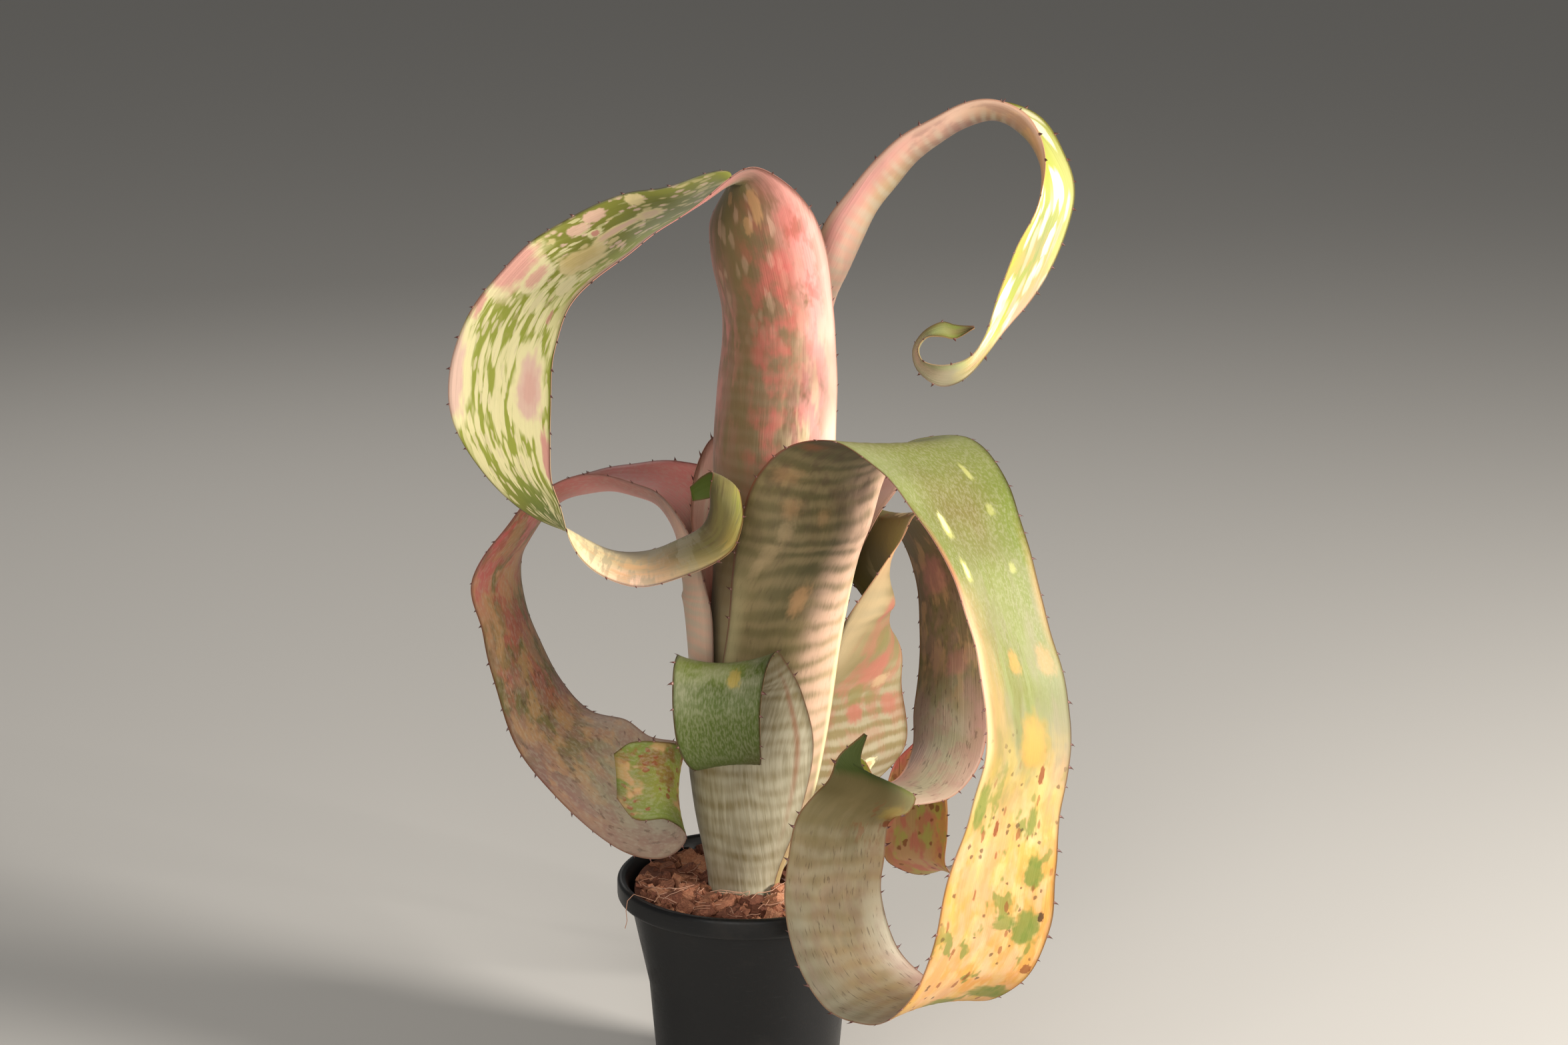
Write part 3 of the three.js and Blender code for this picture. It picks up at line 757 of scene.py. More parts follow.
def make_blotches():
    """Irregular patches of any size."""
    tree, given, result = new_group("leaf_blotches", MARK_INPUTS, MASK)
    uneven = cloud(tree, mark_place(tree, given), *BLOTCH_NOISE)
    level = maths(tree, "MULTIPLY_ADD", given["Cover"], COVER_LOWERS_LEVEL, BLOTCH_LEVEL)
    feed(tree, fade_up(tree, uneven, level, given["Edge"]), result["Mask"])
    return tree


# %% [markdown]
# The bands of scurf are a wave along the leaf. Slow noise makes the rows drift, fine streaks break
# them up, and larger areas let them fade out here and there.

# %% Bands
DRIFT_SIZE = (0.022, 0.03)
DRIFT_SWING = 1.6
STREAK_SIZE = (0.0007, 0.006)
STREAK_SWING = 1.0
AREA_LENGTH = 0.018
AREA_SWING = 1.4


def swing(tree, value, amount):
    """A number from 0 to 1 turned into one that swings about 0 by the amount in all."""
    return maths(tree, "MULTIPLY_ADD", value, amount, -amount / 2)


def make_bands():
    """Silvery cross bands: scurf in soft rows, broken up by fine streaks along the leaf."""
    tree, given, result = new_group("leaf_bands", MARK_INPUTS, MASK)
    skin, seed = given["Skin"], given["Seed"]
    drift = swing(tree, cloud(tree, skin_place(tree, skin, *DRIFT_SIZE, seed)), DRIFT_SWING)
    rows = maths(tree, "DIVIDE", split(tree, skin)["Y"], given["Length"])
    phase = maths(tree, "ADD", rows, drift)
    rising = maths(tree, "SINE", maths(tree, "MULTIPLY", phase, TURN))
    wave = maths(tree, "MULTIPLY_ADD", rising, 0.5, 0.5)
    streak = cloud(tree, skin_place(tree, skin, *STREAK_SIZE, seed), 1.0, 3.0)
    area = cloud(tree, skin_place(tree, skin, given["Width"], AREA_LENGTH, seed), 1.0, 1.0)
    raised = maths(tree, "ADD", wave, swing(tree, streak, STREAK_SWING))
    raised = maths(tree, "ADD", raised, swing(tree, area, AREA_SWING))
    level = maths(tree, "SUBTRACT", 1.0, given["Cover"])
    feed(tree, fade_up(tree, raised, level, given["Edge"]), result["Mask"])
    return tree


# %% [markdown]
# A mark can be a single oval with its middle at a given place, and any mark can be kept to a window:
# a stretch of stations and a share of the width. Both are groups too.

# %% One patch and a window
PATCH_SHAKE = (2.6, 0.8)
PATCH_RADIUS = 0.5
FLAT = (1.0, 1.0, 0.0)


def make_patch():
    """One oval patch with a soft uneven edge, whose middle is a place on the skin."""
    inputs = [("Centre", VECTOR, None), *MARK_INPUTS]
    tree, given, result = new_group("leaf_patch", inputs, MASK)
    away = vector_maths(tree, "SUBTRACT", given["Skin"], given["Centre"])
    place = skin_place(tree, away, given["Width"], given["Length"], 0.0)
    flat = vector_maths(tree, "MULTIPLY", shaken(tree, place, *PATCH_SHAKE), FLAT)
    reach = add_node(tree, "ShaderNodeVectorMath", {0: flat}, operation="LENGTH").outputs["Value"]
    feed(tree, fade_down(tree, reach, PATCH_RADIUS, given["Edge"]), result["Mask"])
    return tree


def make_window():
    """1 inside a stretch of stations and a share of the width, 0 outside, soft between."""
    inputs = [("Region", VECTOR, None), ("From", FLOAT, 0.0), ("To", FLOAT, 1.0), ("Soft", FLOAT, 0.03)]
    inputs += [("Left", FLOAT, 0.0), ("Right", FLOAT, 1.0), ("Side Soft", FLOAT, 0.12)]
    tree, given, result = new_group("leaf_window", inputs, MASK)
    parts = split(tree, given["Region"])
    masks = []
    for part, low, high, soft in (("Y", "From", "To", "Soft"), ("X", "Left", "Right", "Side Soft")):
        after = fade_up(tree, parts[part], given[low], given[soft])
        before = fade_down(tree, parts[part], given[high], given[soft])
        masks.append(maths(tree, "MULTIPLY", after, before))
    feed(tree, maths(tree, "MULTIPLY", *masks), result["Mask"])
    return tree


# %% [markdown]
# Fine veins run along the blade and give it its bump. The last group pushes the station map about,
# so that washes and marks end in organic lines and not in straight ones.

# %% Veins and wandering edges
FINE_VEIN = (0.0006, 0.04)
WIDE_VEIN = (0.0022, 0.08)
WANDER_SIZE = (0.009, 0.028)
WANDER_NOISE = (1.0, 3.0, 0.6)
WANDER_ACROSS = 4.0


def make_veins():
    """Fine parallel veins, from -1 to 1."""
    inputs = [("Skin", VECTOR, None), ("Seed", FLOAT, 0.0)]
    tree, given, result = new_group("leaf_veins", inputs, [("Height", FLOAT)])
    fine = cloud(tree, skin_place(tree, given["Skin"], *FINE_VEIN, given["Seed"]), 1.0, 2.0)
    wide = cloud(tree, skin_place(tree, given["Skin"], *WIDE_VEIN, given["Seed"]), 1.0, 1.0)
    both = maths(tree, "ADD", fine, wide)
    feed(tree, maths(tree, "MULTIPLY_ADD", both, 2.0, -2.0), result["Height"])
    return tree


def make_wander():
    """The region map with its lines pushed about, so that washes meet in organic edges."""
    inputs = [("Region", VECTOR, None), ("Skin", VECTOR, None), ("Amount", FLOAT, 0.1), ("Seed", FLOAT, 0.0)]
    tree, given, result = new_group("leaf_wander", inputs, [("Region", VECTOR)])
    place = skin_place(tree, given["Skin"], *WANDER_SIZE, given["Seed"])
    parts = split(tree, push(tree, place, *WANDER_NOISE))
    wider = maths(tree, "MULTIPLY", given["Amount"], WANDER_ACROSS)
    across = maths(tree, "MULTIPLY", parts["X"], wider)
    along = maths(tree, "MULTIPLY", parts["Y"], given["Amount"])
    shifted = vector_maths(tree, "ADD", given["Region"], join(tree, across, along))
    feed(tree, shifted, result["Region"])
    return tree


MARKS = {"spots": make_spots(), "blotches": make_blotches(), "bands": make_bands()}
PATCH = make_patch()
WINDOW = make_window()
VEINS = make_veins()
WANDER = make_wander()

# %% [markdown]
# The colours have plain names, and are judged in daylight. A painter's palette is easier to
# reason about than rows of numbers: a table can then say that a margin goes from rose to cream.

# %% Palette
PALETTE = {
    "ivory": "fbf0d6",
    # Lemon and shell are cream and blush made lighter: painted light for lit places.
    "lemon": "fff3b8",
    "shell": "f2c9b6",
    "cream": "f0e2ae",
    "buff": "e6d098",
    "blush": "dfb79e",
    "pink": "e39c94",
    "rose": "c97c75",
    # The next colour is rose made darker: painted shade for the right back sheath.
    "shaded_rose": "a3604f",
    "coral": "c9605a",
    "mauve": "987266",
    "grey_pink": "a8917c",
    "tan": "b39a72",
    "sand": "a3906c",
    "grey_tan": "938a70",
    "silver": "c2bba4",
    "olive": "776f3e",
    "olive_brown": "80714a",
    "brown_olive": "6c6039",
    "brown": "7a6144",
    "dark_olive": "4f4a2a",
    "gold": "cfae58",
    "olive_gold": "a58f4a",
    "amber": "d6994f",
    "orange_tan": "c99a6b",
    "lime": "a8ae4a",
    "pale_lime": "c3c278",
    "green": "75813a",
    "olive_green": "83843a",
    "sage": "8f9560",
    "moss": "7d8346",
    "grey_green": "878a62",
    "dark_green": "47541f",
    "rust": "8a4a2a",
    "maroon": "5b2f2a",
    "umber": "4a3424",
}


def colour(name):
    """A palette colour in linear light."""
    code = PALETTE[name]
    channels = [int(code[k:k + 2], 16) / 255 for k in (0, 2, 4)]
    linear = [c / 12.92 if c <= 0.04045 else ((c + 0.055) / 1.055) ** 2.4 for c in channels]
    return (*linear, 1.0)


# %% [markdown]
# Every side of every leaf has its own tables. A wash row is a station and the colours of the left
# margin, the middle and the right margin there, or one colour for all three. A mark row is the kind
# of mark, its colour, its length and width in millimetres, how much it covers, how soft its edge is,
# how strong it is, and the stations that it lies between. Two more numbers can keep it to a share of
# the width, counted from the left margin. What all inner sides or all outer sides share, such as
# their sheen and the line along their margins, is said once.
#
# A strip is one plain stroke along the leaf: its colour, softness and strength, then its stations and
# its share of the width. A patch is a single oval: its colour, length, width, softness and strength,
# then the station and the share of the width where its middle lies.

# %% Paint tables
FINISHES = {
    "inner": {
        "sheen": 0.01, "specular": 0.2, "roughness": 0.5, "vein_shade": 0.025, "margin": "maroon",
        "margin_strength": 0.55, "wander": 0.035,
    },
    "outer": {
        "sheen": 0.08, "specular": 0.4, "roughness": 0.6, "vein_shade": 0.035, "margin": "rust",
        "margin_strength": 0.5, "wander": 0.035,
    },
}
PLANS = {}


def plan_paint(leaf, side, washes, marks, patches=()):
    """Keeps the paint tables of one side of a leaf until its skin is painted."""
    PLANS[leaf, side] = dict(FINISHES[side], washes=washes, marks=marks, patches=patches)
    print(leaf, side, len(washes), "washes", len(marks), "marks", len(patches), "patches")


# %% [markdown]
# These functions turn the rows of a table into colour: washes, then marks and strips, then patches.

# %% From tables to colours
LEFT_BLEND = (0.06, 0.42)
RIGHT_BLEND = (0.58, 0.94)
END_SOFTNESS = 0.9
SIDE_SOFTNESS = 0.12


def mix_colour(tree, factor, below, above, mode="MIX"):
    """The colour sockets of a Mix node are its inputs 6 and 7 and its output 2."""
    inputs = {0: factor, 6: below, 7: above}
    return add_node(tree, "ShaderNodeMix", inputs, data_type="RGBA", blend_type=mode).outputs[2]


def colour_ramp(tree, value, stops):
    """A ramp through rows of a position and a colour."""
    ramp = add_node(tree, "ShaderNodeValToRGB", {0: value})
    elements = ramp.color_ramp.elements
    while len(elements) > 1:
        elements.remove(elements[-1])
    elements[0].position, elements[0].color = stops[0]
    for position, tint in stops[1:]:
        elements.new(position).color = tint
    return ramp.outputs[0]


def wash_ramp(tree, place, washes, column, stations):
    stops = []
    for row in washes:
        name = row[column] if len(row) > 2 else row[1]
        stops.append((row[0] / (stations - 1), colour(name)))
    return colour_ramp(tree, place, stops)


def paint_washes(tree, region, washes, stations):
    parts = split(tree, region)
    left, middle, right = [wash_ramp(tree, parts["Y"], washes, k, stations) for k in (1, 2, 3)]
    first = mix_colour(tree, fade(tree, parts["X"], *LEFT_BLEND), left, middle)
    return mix_colour(tree, fade(tree, parts["X"], *RIGHT_BLEND), first, right)


def window_mask(tree, region, stations, side_soft, first, last, left=0.0, right=1.0):
    values = {"Region": region, "From": first / (stations - 1), "To": last / (stations - 1)}
    values.update({"Soft": END_SOFTNESS / (stations - 1), "Side Soft": side_soft})
    return use_group(tree, WINDOW, dict(values, Left=left, Right=right))


def strip_mask(tree, strip, region, stations):
    soft, strength, *limits = strip
    return maths(tree, "MULTIPLY", window_mask(tree, region, stations, soft, *limits), strength)


def mark_mask(tree, kind, mark, skin, region, stations, seed):
    length, width, cover, edge, strength, *limits = mark
    window = window_mask(tree, region, stations, SIDE_SOFTNESS, *limits)
    sizes = {"Skin": skin, "Length": length * MM, "Width": width * MM}
    made = use_group(tree, MARKS[kind], dict(sizes, Cover=cover, Edge=edge, Seed=seed))
    return maths(tree, "MULTIPLY", made, maths(tree, "MULTIPLY", window, strength))


def paint_patch(tree, base, patch, skin, grid):
    tint, length, width, edge, strength, station, share = patch
    along = np.interp(station, grid["station"], grid["along"])
    across = (share - 0.5) * np.interp(station, grid["station"], grid["width"])
    values = {"Skin": skin, "Centre": (across, along, 0.0), "Edge": edge}
    values.update({"Length": length * MM, "Width": width * MM})
    mask = maths(tree, "MULTIPLY", use_group(tree, PATCH, values), strength)
    return mix_colour(tree, mask, base, colour(tint))


# %% [markdown]
# One function then paints a whole side. Its veins darken the paint a little and give the bump, and
# the scurf of the bands stands up and is rougher than the skin.

# %% The painter
MARGIN_LINE = 0.9 * MM
MARGIN_INSIDE = 0.1 * MM
MARGIN_RAGGED = 0.2 * MM
VEIN_DEPTH = 0.11 * MM
VEIN_STRENGTH = 0.5
VEIN_ROUGHNESS = 0.03
SCURF_HEIGHT = 0.5
SCURF_ROUGHNESS = 0.16
SHADE_SHARE = 0.5
SHEEN_ROUGHNESS = 0.45
MARK_SEED_STEP = 1.7


def stored_number(tree, name):
    return add_node(tree, "ShaderNodeAttribute", attribute_name=name).outputs["Fac"]


def add_bump(tree, shader, height, distance, strength):
    values = {"Height": height, "Distance": distance, "Strength": strength}
    feed(tree, first_output(tree, "ShaderNodeBump", values), shader.inputs["Normal"])


def paint_marks(tree, base, marks, skin, plain, pushed, stations, seed):
    """The base under all marks and strips, and the mask of the last row of bands."""
    scurf = None
    for k, (kind, tint, *mark) in enumerate(marks):
        if kind == "strip":
            mask = strip_mask(tree, mark, plain, stations)
        else:
            mask = mark_mask(tree, kind, mark, skin, pushed, stations, seed + MARK_SEED_STEP * k)
        base = mix_colour(tree, mask, base, colour(tint))
        if kind == "bands":
            scurf = mask
    return base, scurf


def shade_by_veins(tree, base, veins, amount):
    shade = maths(tree, "MULTIPLY_ADD", veins, amount, 0.5)
    grey = first_output(tree, "ShaderNodeCombineColor", {0: shade, 1: shade, 2: shade})
    return mix_colour(tree, SHADE_SHARE, base, grey, "OVERLAY")


def paint_margin(tree, base, veins, look):
    """A dark ragged line along both margins."""
    ragged = maths(tree, "MULTIPLY_ADD", veins, MARGIN_RAGGED, stored_number(tree, "margin"))
    line = fade(tree, ragged, MARGIN_LINE, MARGIN_INSIDE)
    line = maths(tree, "MULTIPLY", line, look["margin_strength"])
    return mix_colour(tree, line, base, colour(look["margin"]))


def make_leaf_skin(name, look, grid, seed):
    """One side of one leaf: washes, marks, patches, a margin line, and veins with their bump."""
    settings = {"Sheen_Weight": look["sheen"], "Specular_IOR_Level": look["specular"]}
    material, tree, shader = new_material(name, Sheen_Roughness=SHEEN_ROUGHNESS, **settings)
    stations = grid["stations"]
    skin = first_output(tree, "ShaderNodeUVMap", uv_map="Skin")
    plain = first_output(tree, "ShaderNodeUVMap", uv_map="Region")
    maps = {"Region": plain, "Skin": skin, "Amount": look["wander"], "Seed": seed}
    pushed = use_group(tree, WANDER, maps)
    base = paint_washes(tree, pushed, look["washes"], stations)
    base, scurf = paint_marks(tree, base, look["marks"], skin, plain, pushed, stations, seed)
    for patch in look["patches"]:
        base = paint_patch(tree, base, patch, skin, grid)
    veins = use_group(tree, VEINS, {"Skin": skin, "Seed": seed})
    base = shade_by_veins(tree, base, veins, look["vein_shade"])
    feed(tree, paint_margin(tree, base, veins, look), shader.inputs["Base Color"])
    rough = maths(tree, "MULTIPLY_ADD", veins, VEIN_ROUGHNESS, look["roughness"])
    if scurf is not None:
        rough = maths(tree, "MULTIPLY_ADD", scurf, SCURF_ROUGHNESS, rough)
        veins = maths(tree, "MULTIPLY_ADD", scurf, SCURF_HEIGHT, veins)
    feed(tree, rough, shader.inputs["Roughness"])
    add_bump(tree, shader, veins, VEIN_DEPTH, VEIN_STRENGTH)
    return material


# %% [markdown]
# ### The tall front leaf
#
# Its outer side, seen where it rises, has a brown middle, a mauve and pink left margin, coral and
# rose patches on the right and an ivory right edge. The ivory, cream and shell along that edge are a
# painted highlight. Its inner side, seen where it loops over, is green with buff ovals near the top and
# long lemon streaks further on, with large shell-pink patches in lemon halos along both margins. The lemon
# and the shell there are painted lighter than the leaf's own cream and blush, as painted light on the loop.
# Past the twist the outer side shows again, pale with grey-tan cross lines, and its tail is olive.

# %% Outer side of the tall front leaf
plan_paint("leaf_front_inner", "outer", washes=[
    (0, "tan", "olive", "tan"),
    # Painted highlight: the ivory of the right margin stands for bright light along that edge.
    (4, "blush", "sand", "ivory"),
    (5, "grey_pink", "brown", "ivory"),
    (5.8, "mauve", "brown", "blush"),
    (6.6, "mauve", "brown", "pink"),
    (7.6, "mauve", "brown", "rose"),
    (8.4, "brown_olive", "olive_brown", "rose"),
    (9, "olive", "olive", "mauve"),
    (9.8, "tan", "olive_brown", "rose"),
    (11, "blush", "tan", "pink"),
    (14, "cream", "tan", "tan"),
    (17, "sand", "cream", "cream"),
    (18.6, "grey_tan", "tan", "blush"),
    (20, "olive", "brown_olive", "sand"),
    (21.2, "dark_olive", "brown_olive", "olive_gold"),
    (22.8, "dark_olive", "olive", "olive_green"),
    (25, "olive", "olive", "olive_gold"),
], marks=[
    ("blotches", "brown_olive", 20, 6, 0.5, 0.08, 0.5, 4.6, 9, 0.1, 0.74),
    ("blotches", "brown", 13, 6, 0.55, 0.06, 0.85, 5.6, 8.8, 0.5, 0.9),
    ("blotches", "coral", 9, 5, 0.4, 0.14, 0.6, 5.4, 8.4, 0.45, 0.85),
    ("blotches", "rose", 12, 3, 0.42, 0.07, 0.5, 6, 7.8, 0.05, 0.3),
    ("blotches", "pink", 10, 4, 0.5, 0.06, 0.8, 5, 8.4, 0.76, 1),
    ("blotches", "pink", 14, 4, 0.5, 0.07, 0.5, 4.6, 8, -0.1, 0.16),
    # Painted highlight: these cream blotches and the shell and ivory strips on the right edge stand for
    # bright light there.
    ("blotches", "cream", 20, 4, 0.5, 0.08, 0.6, 4, 6.6, 0.7, 1),
    ("spots", "blush", 10, 3.6, 0.4, 0.16, 0.5, 7.4, 9, 0.2, 0.75),
    ("bands", "silver", 6, 12, 0.4, 0.7, 0.06, 0, 7),
    ("strip", "shell", 0.07, 0.6, 5, 8.4, 0.93, 1.2),
    ("strip", "pink", 0.07, 0.6, 4.6, 8.8, -0.2, 0.06),
    ("strip", "ivory", 0.06, 0.8, 4, 6.2, 0.9, 1.2),
    ("blotches", "grey_tan", 2, 9, 0.5, 0.06, 0.6, 17, 20.6),
    ("blotches", "orange_tan", 10, 4, 0.4, 0.08, 0.6, 17, 19.5, 0.4, 1),
    ("blotches", "olive", 14, 1.6, 0.5, 0.05, 0.75, 20.4, 24, 0.4, 1),
    ("blotches", "umber", 12, 3, 0.3, 0.1, 0.4, 20.5, 24, 0, 0.6),
], patches=[
    ("orange_tan", 13, 5, 0.16, 0.75, 8.46, 0.66),
    ("orange_tan", 6, 4, 0.16, 0.6, 8.2, 0.55),
    ("orange_tan", 6, 4, 0.16, 0.6, 8.6, 0.36),
    ("coral", 18, 8, 0.35, 0.5, 7.6, 0.7),
    ("coral", 12, 7, 0.3, 0.45, 8.1, 0.82),
    ("brown_olive", 30, 14, 0.35, 0.45, 7.9, 0.4),
])

# %% Inner side of the tall front leaf
plan_paint("leaf_front_inner", "inner", washes=[
    (0, "green"),
    (8, "olive_green"),
    (10, "olive_green", "olive_green", "lime"),
    (11.5, "olive_green", "olive_green", "lime"),
    (13, "lime"),
    (15, "lime"),
    (16.2, "olive_green", "green", "olive_green"),
    (17, "green"),
    (21, "olive", "green", "olive"),
    (25, "dark_green"),
], marks=[
    # Painted light: the shell and lemon of these spots are lighter than the leaf's own blush and cream, for
    # the strong light on the loop.
    ("spots", "buff", 6, 3, 0.38, 0.14, 0.75, 9.4, 12.4),
    ("spots", "shell", 4, 2.4, 0.25, 0.14, 0.7, 9.4, 12.4, 0, 0.8),
    ("spots", "buff", 12, 4, 0.3, 0.12, 0.6, 4, 9.4),
    ("spots", "pink", 16, 5, 0.2, 0.12, 0.5, 4, 9.4),
    ("spots", "lemon", 15, 3, 0.6, 0.09, 0.95, 11.9, 15.8),
    ("spots", "lemon", 20, 2.6, 0.55, 0.09, 0.95, 12.2, 16.6),
    ("spots", "cream", 7, 1.6, 0.4, 0.1, 0.85, 11, 17.2),
    ("blotches", "lemon", 24, 2.6, 0.36, 0.04, 0.9, 12.2, 15.2),
    ("strip", "blush", 0.03, 0.9, 9.6, 12.2, 0.93, 1.2),
    ("strip", "pink", 0.04, 0.6, 10.6, 11.6, 0.93, 1.2),
], patches=[
    ("buff", 11, 8, 0.12, 0.95, 10.4, 0.41),
    ("blush", 7, 5, 0.2, 0.6, 10.4, 0.41),
    ("buff", 7, 8, 0.12, 0.9, 10.4, 0.12),
    ("buff", 22, 5, 0.12, 0.95, 10.93, 0.41),
    ("blush", 17, 3, 0.2, 0.9, 10.93, 0.41),
    ("buff", 20, 13, 0.1, 0.9, 11.6, 0.55),
    ("gold", 14, 9, 0.25, 0.35, 11.6, 0.5),
    ("blush", 9, 6, 0.12, 0.95, 11.05, 0.12),
    ("blush", 8, 5, 0.12, 0.9, 11.35, 0.16),
    ("cream", 6, 4, 0.16, 0.8, 11.2, 0.3),
    ("rose", 3, 3, 0.16, 0.8, 11.2, 0.3),
    ("cream", 11, 7, 0.12, 0.95, 12.06, 0.73),
    ("cream", 22, 17, 0.12, 1.0, 12.3, 0.1),
    ("pink", 17, 13, 0.2, 0.85, 12.25, 0.08),
    ("cream", 15, 9, 0.12, 1.0, 12.2, 0.36),
    ("pink", 10, 5, 0.2, 0.7, 12.2, 0.34),
    ("pink", 9, 4, 0.16, 0.8, 12.85, 0.04),
    # Painted light: the lemon halos and shell patches are lighter than the leaf's own cream and blush, for
    # the strong light on the loop.
    ("lemon", 38, 13, 0.1, 1.0, 13.8, 0.06),
    ("shell", 28, 8, 0.16, 0.95, 13.8, 0.04),
    ("lemon", 36, 16, 0.1, 1.0, 13.75, 0.76),
    ("shell", 24, 11, 0.16, 0.95, 13.7, 0.77),
    ("pink", 12, 6, 0.25, 0.35, 13.7, 0.77),
    ("cream", 9, 3, 0.14, 0.9, 12.5, 0.55),
    ("pink", 6, 2.2, 0.2, 0.7, 12.6, 0.8),
    ("lemon", 22, 6, 0.12, 0.9, 14.7, 0.9),
    ("pink", 20, 5, 0.16, 0.9, 14.8, 0.97),
])

# %% [markdown]
# ### The innermost leaf
#
# It rises rose at its left margin and beige at its right, turns brown-mauve over the arch, and comes
# down showing its lime inner side with long cream streaks. The small curl at its end is grey-brown
# with an olive tip.

# %% Outer side of the innermost leaf
plan_paint("leaf_innermost", "outer", washes=[
    (0, "tan", "olive", "tan"),
    (5, "rose", "pink", "tan"),
    (6.5, "rose", "pink", "tan"),
    (7.8, "pink", "blush", "sand"),
    (8.8, "pink", "tan", "sand"),
    (10.2, "blush", "mauve", "olive_brown"),
    (12, "orange_tan", "olive_brown", "olive_brown"),
    (14, "orange_tan", "olive_brown", "olive_brown"),
    (17, "cream", "pale_lime", "lime"),
    (19, "grey_green", "grey_tan", "grey_green"),
    (25, "olive", "olive_brown", "olive"),
], marks=[
    ("bands", "silver", 5.5, 12, 0.4, 0.6, 0.45, 4, 12, 0.2, 1),
    ("blotches", "rose", 20, 5, 0.4, 0.08, 0.5, 5, 8, 0, 0.5),
    ("blotches", "mauve", 12, 4, 0.45, 0.07, 0.5, 9.2, 13),
    ("strip", "blush", 0.04, 0.7, 7, 13, -0.1, 0.08),
])

# %% Inner side of the innermost leaf
plan_paint("leaf_innermost", "inner", washes=[
    (0, "green"),
    (8, "grey_green", "sage", "sage"),
    (11, "lime"),
    (13, "pale_lime", "lime", "pale_lime"),
    (15, "lime", "sage", "pale_lime"),
    (16.5, "lime", "lime", "blush"),
    (17.5, "pale_lime"),
    (18.6, "grey_green", "grey_tan", "grey_tan"),
    (20.5, "grey_tan", "grey_pink", "grey_tan"),
    (22.5, "olive", "sage", "olive"),
    (24, "green", "olive", "green"),
    (25, "umber"),
], marks=[
    ("spots", "ivory", 22, 3, 0.75, 0.1, 0.9, 11, 17.6),
    ("spots", "blush", 30, 3, 0.5, 0.1, 0.8, 14, 17.8, 0.2, 1),
    ("blotches", "orange_tan", 14, 3, 0.42, 0.06, 0.5, 15, 18),
])

# %% [markdown]
# ### The front right leaf
#
# The sheath is olive-brown with tan and blush bands, fuzzy orange-tan ovals and a cream right margin. Its
# left and middle are painted dark olive and umber up to the crest as painted shade, and the blush of its
# right third is partly its own banding and partly painted light.
# Over the top its inner side is olive and moss green under a silver dusting. On the way down it turns
# sage and grey-green with an orange-tan left margin, and then amber, with green patches and rusty
# flecks. The coil shows the outer side again, grey-tan, tan and mauve with faint silver bands, and
# ends in a dark green tip.

